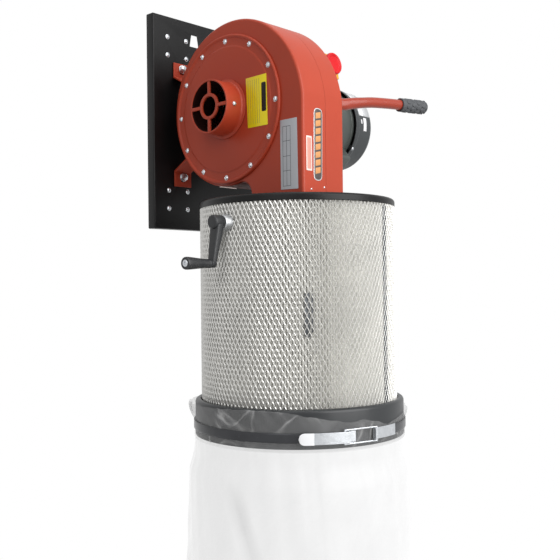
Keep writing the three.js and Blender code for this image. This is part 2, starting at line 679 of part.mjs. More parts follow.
// Hub and arm: the arm tapers and leans outwards on its way down to the grip.
function crankArm() {
  const { hub, hubFace, hubBase, arm } = CRANK;
  const outline = [
    [hubFace + 6, 6], [hubFace + 6, -6], [hubFace - 3.5, -arm - 7], [hubFace + 6.5, -arm - 7],
    [hubBase - 1, -8], [hubBase - 1, 6],
  ];
  const slab = extruded("y", outline.reverse(), [-13, 13]);
  const silhouette = extruded("x", [
    ...arcPoints([0, -arm], 7.2, 180, 360, 8), ...arcPoints([0, 0], hub - 0.4, 0, 180, 8),
  ], [hubFace - 20, hubBase + 20]);
  const tapered = geometryOf(solidOf(slab).intersect(solidOf(silhouette)));
  const hubBar = rod("x", hub, [hubFace, hubBase], [0, 0, 0], SIDES.medium);
  const bore = rod("x", CRANK.shaft + GAP, [hubFace + 5, hubBase + 1]);
  const screwHole = rod("x", 3.6, [hubFace - 10, hubBase + 1], [0, 0, -arm]);
  return cut(join(tapered, hubBar), bore, screwHole);
}

function crankGrip() {
  const inner = CRANK.hubFace - 3.5;
  const end = inner - 55;
  return turned("x", [
    [3.7, inner - GAP], [7, inner - GAP], [7.6, inner - 2], [10.4, end + 8], [10.6, end + 2], [9.6, end],
    [7, end], [7, end + 3], [3.7, end + 3],
  ], SIDES.small, [0, 0, -CRANK.arm]);
}

function gripScrew() {
  const inner = CRANK.hubFace - 3.5;
  const end = inner - 55;
  return turned("x", [
    [0, inner + 8], [3.3, inner + 8], [3.3, end + 2.4], [6.3, end + 2.4], [6.3, end + 0.8], [3, end + 0.8],
    [2.4, end + 1.6], [0, end + 1.6],
  ], SIDES.small, [0, 0, -CRANK.arm]);
}

function addCrank(parent) {
  const crank = addGroup(parent, 0, 0, CRANK.z);
  add(crank, "crank_arm", crankArm(), blackPlastic);
  add(crank, "crank_shaft", rod("x", CRANK.shaft, [CRANK.hubFace + 5.5, -19.7]), steel);
  add(crank, "bevel_pinion", turned("x", [
    [0, -19.4], [8.6, -19.4], [8.6, -18], [5.1, -11], [0, -11],
  ], SIDES.small), steel);
  add(crank, "grip_screw", gripScrew(), zinc);
  add(crank, "crank_grip", crankGrip(), blackPlastic);
}

function addBeater(parent) {
  const { shaft, bottom, flapInner, flapOuter } = BEATER;
  const arms = [-300, -500].map((z) => rod("y", 4, [GAP - flapInner, flapInner - GAP], [0, 0, z], 10));
  const wheelTop = CRANK.z - 9;
  const column = rod("z", shaft, [bottom + 3.2, wheelTop - 8.3]);
  add(parent, "beater_shaft", join(column, ...arms), steel);
  add(parent, "bevel_wheel", turned("z", [
    [0, wheelTop - 8], [17.6, wheelTop - 8], [17.6, wheelTop - 0.3], [11.2, wheelTop + 2.9],
    [0, wheelTop + 2.2],
  ], SIDES.medium), steel);
  add(parent, "beater_flap_front", block([-1.5, 1.5], [-flapOuter, -flapInner], [-520, -280]), blackPlastic);
  add(parent, "beater_flap_rear", block([-1.5, 1.5], [flapInner, flapOuter], [-520, -280]), blackPlastic);
}

// ---------------------------------------------------------------- collar, strap, latch and bag

function collarRing() {
  const { radius, top, bottom, shelf, shoulder } = COLLAR;
  const outerArc = arcPoints([radius - shoulder, top - shoulder], shoulder, 0, 90, 2);
  const innerArc = arcPoints([radius - shoulder, top - shoulder], shoulder - 2, 90, 0, 1);
  return turned("z", [
    [radius, bottom], ...outerArc, [180.3, top], [180.3, shelf], [150, shelf], [150, shelf - 2],
    [182.3, shelf - 2], [182.3, top - 2], ...innerArc, [radius - 2, bottom],
  ]);
}

// A point on a circle about the canister; the angle runs from -Y towards +X.
function onCircle(angle, radius) {
  return [radius * Math.sin(radians(angle)), -radius * Math.cos(radians(angle))];
}

// A strip that follows the collar between two angles and two radii, from `low` to `high` about the
// middle of the strap.
function curvedStrip([from, to], [inner, outer], [low, high], steps) {
  const angles = Array.from({ length: steps + 1 }, (_, i) => from + ((to - from) * i) / steps);
  const outline = [
    ...angles.map((angle) => onCircle(angle, outer)),
    ...angles.reverse().map((angle) => onCircle(angle, inner)),
  ];
  return extruded("z", outline, [STRAP.z + low, STRAP.z + high]);
}

// A pin across the latch at an angle, parallel to the canister axis.
function latchPin(angle, radius, half) {
  const [x, y] = onCircle(angle, LATCH.pin);
  return rod("z", radius, [STRAP.z - half, STRAP.z + half], [x, y, 0]);
}

// A pair of thin cheeks, one on each side of the strap's middle.
function latchCheeks(makeCheek, offset, thickness) {
  return [[-offset - thickness, -offset], [offset, offset + thickness]].map(makeCheek);
}

function latchBase() {
  const { pivot, pin } = LATCH;
  const plateRadii = [STRAP.outer + GAP, STRAP.outer + 1.8];
  const plate = curvedStrip([pivot - 7, pivot + 4], plateRadii, [-9, 9], 4);
  const [x, y] = onCircle(pivot, pin);
  const ears = latchCheeks((span) => join(
    curvedStrip([pivot - 0.85, pivot + 0.85], [STRAP.outer + 1.2, pin], span, 1),
    rod("z", 3, span.map((z) => STRAP.z + z), [x, y, 0]),
  ), 6.4, 1.2);
  return join(plate, ...ears, latchPin(pivot, 1.5, 9.6));
}

function latchCatch() {
  const plate = curvedStrip([-9.2, 9], [STRAP.outer + GAP, STRAP.outer + 1.8], [-9.5, 9.5], 6);
  const stem = curvedStrip([-9.2, -8.5], [STRAP.outer + 1.2, LATCH.pin + 2.5], [-9.5, 9.5], 1);
  return join(plate, stem);
}

function latchLever() {
  const { pivot, pin, bail, leverTip, leverHalf } = LATCH;
  const thickness = 1.2;
  const web = curvedStrip([leverTip, pivot], [pin + 3.4, pin + 4.6], [-leverHalf, leverHalf], 6);
  const [x, y] = onCircle(pivot, pin);
  const flanges = latchCheeks((span) => join(
    curvedStrip([leverTip + 3, pivot], [pin - 2.6, pin + 4], span, 6),
    rod("z", 3, span.map((z) => STRAP.z + z), [x, y, 0]),
  ), leverHalf - thickness, thickness);
  return cut(join(web, ...flanges), latchPin(pivot, 2, 12), latchPin(bail, 1.9, 12));
}

// The wire bail: a closed rectangle from the lever's pin round the hook.
function latchBail() {
  const { bail, hook, pin } = LATCH;
  const wire = 1.3;
  const reach = 11.4;
  const start = onCircle(bail, pin);
  const end = onCircle(hook, pin - 1);
  const bars = [start, end].map(([x, y]) => (
    rod("z", wire, [STRAP.z - reach - wire, STRAP.z + reach + wire], [x, y, 0], 10)
  ));
  const length = Math.hypot(end[0] - start[0], end[1] - start[1]);
  const turn = Math.atan2(end[1] - start[1], end[0] - start[0]);
  const sides = [-1, 1].map((side) => (
    rod("x", wire, [0, length], [0, 0, 0], 10).rotateZ(turn).translate(...start, STRAP.z + side * reach)
  ));
  return join(...bars, ...sides);
}

function dustBag() {
  const outer = [
    [0, -1200], [150, -1185], [208, -1110], [218, -900], [210, -690], [191.9, -601],
    [191.9, BAG_MOUTH],
  ];
  const inner = [
    [190.9, BAG_MOUTH], [190.9, -601.5], [207, -690], [215, -900], [205, -1109], [148.5, -1182],
    [0, -1197],
  ];
  return turned("z", [...outer, ...inner]);
}

function addCollar(parent) {
  add(parent, "collar_ring", collarRing(), collarGrey);
  const { inner, outer, halfWidth } = STRAP;
  const strap = curvedStrip([-9, 340], [inner, outer], [-halfWidth, halfWidth], 60);
  add(parent, "band_clamp", strap, blackPaint);
  add(parent, "latch_base", latchBase(), zinc);
  add(parent, "latch_catch", latchCatch(), zinc);
  add(parent, "latch_lever", latchLever(), zinc);
  add(parent, "latch_bail", latchBail(), zinc);
  add(parent, "dust_bag", dustBag(), film);
}

// ---------------------------------------------------------------- assembly

addWallPlate(dustCollector);
const motorAxis = addGroup(dustCollector, 0, AXIS_Y, 0);
addBlower(motorAxis);
addMotor(motorAxis);
addSwitch(dustCollector);
addHandle(dustCollector);
const canisterAxis = addGroup(dustCollector, CANISTER.x, CANISTER.y, 0);
addCanister(canisterAxis);
addCrank(canisterAxis);
addBeater(canisterAxis);
addCollar(canisterAxis);

export default dustCollector;
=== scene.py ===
"""Looks of the wall-hung dust collector. Lengths are in millimetres until a mesh is made."""

import json
import math

import bmesh
import bpy
import numpy as np
from mathutils import Matrix, Vector


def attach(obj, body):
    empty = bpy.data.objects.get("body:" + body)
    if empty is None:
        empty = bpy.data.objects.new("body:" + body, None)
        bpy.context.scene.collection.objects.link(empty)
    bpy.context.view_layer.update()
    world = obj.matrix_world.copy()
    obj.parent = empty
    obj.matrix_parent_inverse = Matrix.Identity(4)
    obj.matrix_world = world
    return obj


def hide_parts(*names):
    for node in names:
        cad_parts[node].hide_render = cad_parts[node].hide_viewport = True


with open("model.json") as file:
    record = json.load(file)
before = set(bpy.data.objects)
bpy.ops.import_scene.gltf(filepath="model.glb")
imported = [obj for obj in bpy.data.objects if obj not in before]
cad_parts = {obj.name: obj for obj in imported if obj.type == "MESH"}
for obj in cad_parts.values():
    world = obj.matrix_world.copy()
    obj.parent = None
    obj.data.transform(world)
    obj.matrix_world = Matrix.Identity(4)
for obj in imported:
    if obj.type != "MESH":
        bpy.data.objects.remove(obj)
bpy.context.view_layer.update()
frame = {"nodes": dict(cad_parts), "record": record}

MM = 0.001
BODY_OF = {n: b for b, nodes in frame["record"]["behaviour"]["bodies"].items() for n in nodes}
SLOT_OF = {row["node"]: row["material_slot"] for row in frame["record"]["subparts"]}
AXIS = np.array([0.0, -191.6, 0.0])  # motor axis
CAN = np.array([-102.5, -316.0, 0.0])  # canister axis
random = np.random.RandomState(11)


# ---- camera

CAMERA_AT = (-1.2624, -1.3582, -0.3342)  # metres
CAMERA_TURN = (46.843, 0.364, -0.637)  # degrees: yaw from +Y towards +X, pitch, roll
FOCAL, PICTURE, SENSOR = 844.66, 560, 36  # pixels, pixels, millimetres


def add_camera():
    yaw, pitch, roll = (math.radians(a) for a in CAMERA_TURN)
    ahead = Vector((math.sin(yaw) * math.cos(pitch), math.cos(yaw) * math.cos(pitch), math.sin(pitch)))
    level = Vector((math.cos(yaw), -math.sin(yaw), 0))
    up = level.cross(ahead)
    right = level * math.cos(roll) + up * math.sin(roll)
    above = up * math.cos(roll) - level * math.sin(roll)
    camera = bpy.data.objects.new("camera", bpy.data.cameras.new("camera"))
    camera.matrix_world = Matrix((*zip(right, above, -ahead, CAMERA_AT), (0, 0, 0, 1)))
    camera.data.lens = FOCAL / PICTURE * SENSOR
    camera.data.sensor_width = SENSOR
    bpy.context.scene.collection.objects.link(camera)
    bpy.context.scene.camera = camera


add_camera()


# ---- materials

UNEVEN = 0.06  # how far a finish's roughness strays from its mean


def linear(code):
    """The linear colour of a hexadecimal sRGB code."""
    parts = [int(code[i:i + 2], 16) / 255 for i in (0, 2, 4)]
    return tuple(p / 12.92 if p <= 0.04045 else ((p + 0.055) / 1.055) ** 2.4 for p in parts)


def material(name, code, rough, metal=0.0, mottle=0.08, scale=9.0, grain=0.0, grain_scale=900.0,
             coat=0.0, spec=0.5, stretch=(1, 1, 1)):
    """A painted, plated or moulded finish: mottled colour, uneven gloss and a fine surface grain."""
    made = bpy.data.materials.new(name)
    made.use_nodes = True
    nodes, links = made.node_tree.nodes, made.node_tree.links
    shader = nodes["Principled BSDF"]
    shader.inputs["Metallic"].default_value = metal
    shader.inputs["Coat Weight"].default_value = coat
    shader.inputs["Coat Roughness"].default_value = 0.12
    shader.inputs["Specular IOR Level"].default_value = spec
    where = nodes.new("ShaderNodeTexCoord")
    mapping = nodes.new("ShaderNodeMapping")
    mapping.inputs["Scale"].default_value = stretch
    links.new(where.outputs["Object"], mapping.inputs["Vector"])

    def noise(size, detail=4.0):
        node = nodes.new("ShaderNodeTexNoise")
        node.inputs["Scale"].default_value = size
        node.inputs["Detail"].default_value = detail
        links.new(mapping.outputs["Vector"], node.inputs["Vector"])
        return node.outputs["Fac"]

    colour = linear(code)
    ramp = nodes.new("ShaderNodeValToRGB")
    for element, place, shade in zip(ramp.color_ramp.elements, (0.3, 0.7), (1 - mottle, 1 + mottle)):
        element.position = place
        element.color = tuple(min(1, c * shade) for c in colour) + (1,)
    links.new(noise(scale), ramp.inputs["Fac"])
    links.new(ramp.outputs["Color"], shader.inputs["Base Color"])
    gloss = nodes.new("ShaderNodeMapRange")
    gloss.inputs["To Min"].default_value = max(0.02, rough - UNEVEN)
    gloss.inputs["To Max"].default_value = rough + UNEVEN
    links.new(noise(scale * 4), gloss.inputs["Value"])
    links.new(gloss.outputs["Result"], shader.inputs["Roughness"])
    if grain:
        bump = nodes.new("ShaderNodeBump")
        bump.inputs["Strength"].default_value = grain
        bump.inputs["Distance"].default_value = 0.0004
        links.new(noise(grain_scale, 2.0), bump.inputs["Height"])
        links.new(bump.outputs["Normal"], shader.inputs["Normal"])
    return made


def printed(name, code, rough=0.35, mottle=0.03, **more):
    """A label's film or ink: almost even in colour, with hardly any grain."""
    return material(name, code, rough, mottle=mottle, scale=20, grain=0.04, **more)


RED = material("red_enamel", "b24128", 0.42, mottle=0.05, grain=0.14, grain_scale=420, coat=0.06, spec=0.3)
HANDLE_RED = material("red_enamel_gloss", "9c3621", 0.3, mottle=0.04, grain=0.06, grain_scale=300,
                      coat=0.2, spec=0.35)
BLACK = material("black_powder_coat", "0b0b0c", 0.36, mottle=0.15, grain=0.22, grain_scale=1100, spec=0.24)
COWL = material("cowl_paint", "323638", 0.42, grain=0.2, coat=0.1)
ZINC = material("zinc_plate", "d3d6da", 0.24, metal=0.9, scale=80, grain=0.1, grain_scale=1500)
STEEL = material("bare_steel", "a8aaae", 0.3, metal=1.0, mottle=0.1, scale=60, grain=0.1, stretch=(1, 1, 12))
PLASTIC = material("black_plastic", "252628", 0.42, mottle=0.1, grain=0.25, grain_scale=1600)
WHITE_PLASTIC = material("white_vinyl", "f2f2f4", 0.4, mottle=0.03, scale=30, grain=0.08)
STOP_RED = material("red_plastic", "cf0f18", 0.38, mottle=0.03, scale=30, grain=0.05, coat=0.08, spec=0.25)
# painted shade for the inside of the inlet tube
BORE_SHADE = material("bore_painted_shade", "240a07", 0.7, mottle=0.2, scale=30, grain=0.1, spec=0.15)
STRAP = material("strap_steel", "3b3c3f", 0.25, metal=0.4, mottle=0.15, scale=40, grain=0.1, grain_scale=500)
# a flat dark grey seen through the jacket's holes; at the seam it is painted shade
SHADE = material("shaded_layer", "6d7073", 0.7, mottle=0.2, scale=60, grain=0.1, spec=0.2)
YELLOW_LABEL = printed("yellow_label", "fbe604", mottle=0.02, coat=0.2)
GREY_LABEL = printed("grey_label", "b9bbc0", 0.3, metal=0.2, coat=0.2)
PALE_LABEL = printed("pale_label", "f0ddd6", mottle=0.02)
SILVER_LABEL = printed("silver_label", "d6d8da", 0.3, metal=0.3)
STRIPE_LABEL = printed("strip_label", "4a403c", mottle=0.05, coat=0.2)
ORANGE = printed("orange_block", "d9985c", 0.4)
ROSE = printed("rose_label", "dd9d8c", 0.4)
INK = printed("label_rule", "55575c", 0.5)
BY_SLOT = {
    "red_paint": RED,
    "black_paint": BLACK,
    "motor_paint": material("motor_paint", "474c49", 0.4, grain=0.3, grain_scale=700, coat=0.1),
    "cowl_paint": COWL,
    "zinc": ZINC,
    "steel": STEEL,
    "aluminium": material("cast_alloy", "bcbec0", 0.38, metal=1.0, scale=50, grain=0.4, grain_scale=1300),
    "black_plastic": PLASTIC,
    "rubber": material("grip_rubber", "4b4d50", 0.6, mottle=0.1, grain=0.15, grain_scale=1200),
    "yellow_plastic": material("yellow_plastic", "e9a81c", 0.3, mottle=0.04, scale=30, grain=0.08, coat=0.3),
    "red_plastic": STOP_RED,
    "green_plastic": material("green_plastic", "1f9a46", 0.3, mottle=0.04, scale=30, grain=0.05, coat=0.3),
    "galvanised": material("galvanised_mesh", "d3d2cf", 0.44, metal=0.85, scale=120, grain=0.1),
    "paper": material("filter_paper", "f7f6f2", 0.9, mottle=0.04, scale=14, grain=0.6, spec=0.2),
    "collar_paint": material("collar_paint", "2a2c2e", 0.36, mottle=0.1, grain=0.15, coat=0.05, spec=0.4),
    "foam": material("foam_seal", "26272a", 0.95, mottle=0.2, scale=200, grain=0.9, grain_scale=600, spec=0.2),
}


# ---- mesh helpers

def merge(*parts):
    """One part from several; a part is (points, faces)."""
    points, faces, start = [], [], 0
    for verts, polys in parts:
        points.append(np.asarray(verts, float).reshape(-1, 3))
        faces += [tuple(i + start for i in f) for f in polys]
        start += len(points[-1])
    return np.vstack(points), faces


def moved(part, offset=(0, 0, 0), turn=None):
    points = np.asarray(part[0], float)
    if turn is not None:
        points = points @ np.asarray(turn).T
    return points + np.asarray(offset, float), part[1]


def turn_about(axis, degrees):
    return np.array(Matrix.Rotation(math.radians(degrees), 3, axis.upper()))


def aim(direction, side=(0, 0, 1)):
    """A turn that takes +Z to a direction and keeps +X as near as it can to `side`."""
    z = np.asarray(direction, float) / np.linalg.norm(direction)
    x = np.asarray(side, float) - np.dot(side, z) * z
    x = x / np.linalg.norm(x)
    return np.column_stack((x, np.cross(z, x), z))


def placed(axis, a, b, h):
    """Points from plane coordinates and height: along x (y, z), along y (x, z), along z (x, y)."""
    a, b, h = np.broadcast_arrays(a, b, h)
    order = {"x": (h, a, b), "y": (a, h, b), "z": (a, b, h)}[axis]
    return np.stack(order, axis=-1)


def loft(rings, wrap=True, closed=False):
    """Quads between rows of points; `wrap` joins each row's ends, `closed` joins the last row to the first."""
    rings = np.asarray(rings, float)
    rows, count = rings.shape[:2]
    faces = []
    for i in range(rows if closed else rows - 1):
        low, high = i * count, ((i + 1) % rows) * count
        for j in range(count if wrap else count - 1):
            k = (j + 1) % count
            faces.append((low + j, low + k, high + k, high + j))
    return rings.reshape(-1, 3), faces


def rounded(points, radius, steps=3, closed=True):
    """A polyline with its corners rounded; `radius` is one number or one for each point."""
    points = [np.asarray(p, float) for p in points]
    radii = [radius] * len(points) if np.isscalar(radius) else radius
    out = []
    for i, p in enumerate(points):
        if not closed and i in (0, len(points) - 1):
            out.append(p)
            continue
        before, after = points[i - 1] - p, points[(i + 1) % len(points)] - p
        reach = min(radii[i], 0.45 * np.linalg.norm(before), 0.45 * np.linalg.norm(after))
        if reach < 1e-3:
            out.append(p)
            continue
        start = p + before / np.linalg.norm(before) * reach
        end = p + after / np.linalg.norm(after) * reach
        for s in np.linspace(0, 1, steps + 1):
            out.append((1 - s) ** 2 * start + 2 * s * (1 - s) * p + s * s * end)
    return [tuple(p) for p in out]


def full_turn(count):
    return np.linspace(0, 2 * math.pi, count, endpoint=False)


def lathe(profile, axis="z", at=(0, 0, 0), segments=128, closed=True, corner=0.0):
    """A profile of (radius, height) turned about an axis through `at`."""
    if corner:
        profile = rounded(profile, corner, 3, closed)
    angles = full_turn(segments)
    rings = [placed(axis, r * np.cos(angles), r * np.sin(angles), h) for r, h in profile]
    return moved(loft(rings, closed=closed), at)


def circle(centre, radius, count):
    return [(centre[0] + radius * math.cos(a), centre[1] + radius * math.sin(a)) for a in full_turn(count)]


def arc(centre, radius, start, end, steps):
    turns = [math.radians(a) for a in np.linspace(start, end, steps + 1)]
    return [(centre[0] + radius * math.cos(t), centre[1] + radius * math.sin(t)) for t in turns]


def rectangle(a, b, c, d):
    """The corners of a rectangle from a to b and from c to d."""
    return [(a, c), (b, c), (b, d), (a, d)]


def inset(points, distance, closed=True):
    """The polyline moved to its left by a distance, which is inwards where it runs counter-clockwise."""
    p = np.asarray(points, float)
    count = len(p)
    out = []
    for i in range(count):
        a = p[i - 1] if closed or i else 2 * p[0] - p[1]
        b = p[(i + 1) % count] if closed or i < count - 1 else 2 * p[-1] - p[-2]
        d0, d1 = p[i] - a, b - p[i]
        d0, d1 = d0 / (np.linalg.norm(d0) + 1e-12), d1 / (np.linalg.norm(d1) + 1e-12)
        n = np.array([-d0[1] - d1[1], d0[0] + d1[0]])
        n = n / (np.linalg.norm(n) + 1e-12)
        out.append(p[i] + n * distance / max(0.5, float(np.dot(n, [-d0[1], d0[0]]))))
    return np.array(out)


def face_of(axis, height, outline, holes=()):
    """A flat face with holes."""
    work = bmesh.new()
    for loop in (outline, *holes):
        corners = [work.verts.new((x, y, 0)) for x, y in loop]
        for i, corner in enumerate(corners):
            work.edges.new((corners[i - 1], corner))
    bmesh.ops.triangle_fill(work, edges=work.edges, use_beauty=True, use_dissolve=False, normal=(0, 0, 1))
    work.verts.index_update()
    points = np.array([v.co[:2] for v in work.verts]).reshape(-1, 2)
    faces = [tuple(v.index for v in f.verts) for f in work.faces]
    work.free()
    return placed(axis, *points.T, height), faces


def counter_clockwise(points):
    p = np.asarray(points, float)
    area = np.sum(p[:, 0] * np.roll(p[:, 1], -1) - np.roll(p[:, 0], -1) * p[:, 1])
    return p if area > 0 else p[::-1]


def clockwise(points):
    return counter_clockwise(points)[::-1]


def bend_rows(radius, start, step, count):
    """(inset, height) rows round an edge, from the face at `start` outwards; `step` is 1 or -1."""
    return [(radius * (1 - math.sin(t)), start + step * radius * (1 - math.cos(t)))
            for t in np.linspace(0, math.pi / 2, count)]


def slab(axis, outline, low, high, edge):
    """An outline extruded along an axis, with its edges rounded."""
    outline = counter_clockwise(outline)
    rows = bend_rows(edge, low, 1, 3) + bend_rows(edge, high, -1, 3)[::-1]
    rings = [placed(axis, *inset(outline, depth).T, height) for depth, height in rows]
    small = inset(outline, edge)
    return merge(loft(rings), face_of(axis, low, small), face_of(axis, high, small))


def capped(rings):
    """The rings with each end drawn together in its middle."""
    count = len(rings[0])
    first, last = np.mean(rings[0], axis=0), np.mean(rings[-1], axis=0)
    return [np.repeat([first], count, 0), *rings, np.repeat([last], count, 0)]


def sweep(path, section, scales):
    """A section of (x, y) points carried along a path without twist, scaled in x and y at each point."""
    section = np.asarray(section, float)
    ahead = np.gradient(path, axis=0)
    ahead /= np.linalg.norm(ahead, axis=1)[:, None]
    side = np.cross(ahead[0], [0, 0, 1])
    rings = []
    for point, direction, (sx, sy) in zip(path, ahead, scales):
        side = side - np.dot(side, direction) * direction
        side /= np.linalg.norm(side)
        up = np.cross(direction, side)
        rings.append(point + section[:, :1] * sx * side + section[:, 1:] * sy * up)
    return loft(capped(rings))


def smooth_path(points, count):
    """Catmull-Rom points through the given ones."""
    p = np.asarray(points, float)
    p = np.vstack((2 * p[0] - p[1], p, 2 * p[-1] - p[-2]))
    out = []
    for t in np.linspace(0, len(p) - 3 - 1e-9, count):
        i, s = int(t), t - int(t)
        a, b, c, d = p[i:i + 4]
        out.append(0.5 * (2 * b + (c - a) * s + (2 * a - 5 * b + 4 * c - d) * s * s
                          + (3 * b - a - 3 * c + d) * s ** 3))
    return np.array(out)


def piece(name, part, finish, body, replaces=(), slot=None, crease=35, solid=0.0, even=False, bevel=0.0):
    """Makes the mesh object, lets it ride on its body and hides the CAD nodes it stands for."""
    points, faces = part
    mesh = bpy.data.meshes.new(name)
    mesh.from_pydata((np.asarray(points, float) * MM).tolist(), [], faces)
    work = bmesh.new()
    work.from_mesh(mesh)
    bmesh.ops.remove_doubles(work, verts=work.verts, dist=2e-6)
    bmesh.ops.dissolve_degenerate(work, edges=work.edges, dist=1e-6)
    bmesh.ops.recalc_face_normals(work, faces=work.faces)
    work.to_mesh(mesh)
    work.free()
    mesh.polygons.foreach_set("use_smooth", [True] * len(mesh.polygons))
    mesh.set_sharp_from_angle(angle=math.radians(crease))
    made = bpy.data.objects.new(name, mesh)
    bpy.context.scene.collection.objects.link(made)
    mesh.materials.append(finish)
    if solid:
        shell = made.modifiers.new("sheet", "SOLIDIFY")
        shell.thickness = solid * MM
        shell.offset = -1
    if bevel:
        soften = made.modifiers.new("edges", "BEVEL")
        soften.width = bevel * MM
        soften.segments = 2
        soften.limit_method = "ANGLE"
        soften.angle_limit = math.radians(30)
        soften.harden_normals = False
    if even:
        made.modifiers.new("normals", "WEIGHTED_NORMAL").keep_sharp = True
    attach(made, body)
    if replaces:
        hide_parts(*replaces)
    slot = slot or (SLOT_OF[replaces[0]] if replaces else None)
    return made


def look(node, part, finish=None, **more):
    """The piece that stands for one node of the CAD and rides on that node's body."""
    piece(node + "_look", part, finish or BY_SLOT[SLOT_OF[node]], BODY_OF[node], (node,), **more)


def softened(node, bevel):
    """The node's own shape with its coplanar faces joined and its edges rounded."""
    work = bmesh.new()
    work.from_mesh(frame["nodes"][node].data)
    bmesh.ops.remove_doubles(work, verts=work.verts, dist=1e-5)
    bmesh.ops.dissolve_limit(work, angle_limit=math.radians(1.5), verts=work.verts, edges=work.edges)
    work.verts.index_update()
    points = np.array([v.co[:] for v in work.verts]) / MM
    faces = [tuple(v.index for v in f.verts) for f in work.faces]
    work.free()
    look(node, (points, faces), bevel=bevel, even=True)


# ---- fasteners

def pan_screw(radius, height, cross=True):
    """A domed screw head along +Z with a sunk cross, standing on z = 0."""
    rings = []
    angles = full_turn(48)
    for share in (0.0, 0.12, 0.24, 0.36, 0.48, 0.6, 0.72, 0.84, 0.94, 1.0):
        r = radius * share
        x, y = r * np.cos(angles), r * np.sin(angles)
        z = height * np.sqrt(np.maximum(0.0, 1 - 0.92 * share ** 2.4)) + np.zeros(48)
        if cross:
            arm = np.minimum(np.abs(x), np.abs(y)) < 0.16 * radius
            z = z - np.where(arm & (r < 0.6 * radius), 0.42 * height, 0.0)
        rings.append(np.stack((x, y, z), -1))
    rings.append(np.stack((radius * np.cos(angles), radius * np.sin(angles), 0 * angles), -1))
    return loft(rings)


def hex_bolt(washer, across, thickness, height):
    """A washer and a hexagon head along +Z with its corners turned off."""
    top = thickness + height
    dome = [(0, top), (across * 0.86, top), (across * 0.98, top - 0.5)]
    return merge(
        lathe(rectangle(4, washer, 0, thickness), segments=48, corner=0.3),
        slab("z", circle((0, 0), across * 1.155, 6), thickness, top - 0.3, 0.5),
        lathe(dome, segments=36, closed=False),
    )


def scatter(part, places):
    """Copies of a part at (offset, direction) places."""
    return merge(*[moved(part, offset, aim(direction)) for offset, direction in places])


def fasteners(name, part, places):
    """Loose screws, rivets or washers that stand for no node of the CAD."""
    piece(name, scatter(part, places), ZINC, "machine", slot="zinc")


WASHER = lathe(rectangle(3, 5.0, 0, 0.6), segments=32, corner=0.2)


# ---- wall plate

def wall_plate():
    half_x, half_z, depth, bend = 200.0, 217.0, 20.0, 2.6
    outline = np.array(rounded(rectangle(-half_x, half_x, -half_z, half_z), 3.0, 4))
    holes = []
    for x in (-90, 90):
        slot = [(x - 13, 167), (x + 13, 167), (x + 8.5, 192), (x - 8.5, 192)]
        holes.append(clockwise(rounded(slot, 1.6, 3)))
    for spot in ((-127.25, 113), (-127.25, -109), (60, 72), (60, -72)):
        holes.append(clockwise(circle(spot, 4.6, 20)))
    rows = bend_rows(bend, -depth, 1, 5) + [(0, 0)]
    rings = [placed("y", *inset(outline, distance).T, y) for distance, y in rows]
    part = merge(loft(rings), face_of("y", -depth, inset(outline, bend), holes))
    look("wall_plate", part, solid=2.5, even=True)
    spots = [((x, -depth, z), (0, -1, 0)) for x in (-162.5, -113, 113, 162.5) for z in (-175, -138, 138, 175)]
    fasteners("wall_plate_screws", pan_screw(4.1, 2.4), spots)
    fasteners("wall_plate_washers", WASHER, spots)


def wall_bolts():
    seat = 23.6  # how far the brackets' feet stand out from the wall
    for name, x, z in (("bracket_bolt_upper", -127.25, 113), ("bracket_bolt_lower", -127.25, -109),
                       ("saddle_bolt_lower", 60, -72), ("saddle_bolt_upper", 60, 72)):
        head = moved(hex_bolt(9, 7.0, 1.6, 5.4), (x, -seat, z), aim((0, -1, 0), (1, 0, 0.4)))
        shank = lathe([(0, -24), (3.9, -24), (3.9, -4), (0, -4)], "y", (x, 0, z), 24, closed=False)
        nut = moved(slab("y", circle((0, 0), 7.5, 6), -17.2, -10.5, 0.5), (x, 0, z))
        look(name, merge(head, shank, nut))


# ---- blower casing

FRONT, SEAM, BACK = -161.0, -99.5, -49.0  # along x
OUTLET = -180.6  # the outlet's lower edge, along z


def scroll_radius(angle):
    """The scroll's radius about the motor axis; the angle runs from straight down towards the wall."""
    least, growth, start, span, power = 145, 47.3, 20, 250, 1.75
    return least + growth * (np.maximum(0, angle - start) / span) ** power


def casing_line():
    """The casing's edge in (y, z) about the motor axis, from the wall side of the outlet round to the front."""
    fillet_y, fillet = -37.4, 25.0
    fillet_z = -math.sqrt(170.0 ** 2 - fillet_y ** 2)
    tongue = math.degrees(math.atan2(fillet_y, -fillet_z))
    points = [(-62.4, OUTLET)]
    points += arc((fillet_y, fillet_z), fillet, 180, 90 + tongue + 1, 10)
    for angle in np.linspace(tongue + 3, 270, 110):
        r = float(scroll_radius(angle))
        points.append((r * math.sin(math.radians(angle)), -r * math.cos(math.radians(angle))))
    points += [(-192.3, z) for z in np.linspace(-30, OUTLET, 6)]
    return np.array(points)


def casing_half(opening, x_face, x_seam, bend):
    """One pressed half: a flat side with an opening, a rounded edge and the wall up to the seam."""
    line = casing_line()
    step = math.copysign(1, x_seam - x_face)
    rows = bend_rows(bend, x_face, step, 7)
    rows += [(0, x_face + step * (bend + 8)), (0, x_seam - step * 0.3), (0.12, x_seam)]

    def line_at(distance):
        loop = inset(line, distance, closed=False)
        loop[0, 1] = loop[-1, 1] = OUTLET
        return loop

    rings = [placed("x", *line_at(distance).T, x) for distance, x in rows]
    side = face_of("x", x_face, line_at(bend), [clockwise(circle((0, 0), opening, 96))])
    return moved(merge(loft(rings, wrap=False), side), AXIS)


def casing():
    gap = 0.12  # half the joint between the halves
    look("casing_front", casing_half(124, FRONT, SEAM - gap, 5.0), solid=2.0, even=True, crease=50)
    look("casing_back", casing_half(30, BACK, SEAM + gap, 4.0), solid=2.0, even=True, crease=50)
    fasteners("casing_rivets", pan_screw(1.9, 0.9, cross=False),
              [((x, -383.9, z), (0, -1, 0)) for x, z in ((-139.4, -165.2), (-104.5, -159.6))])


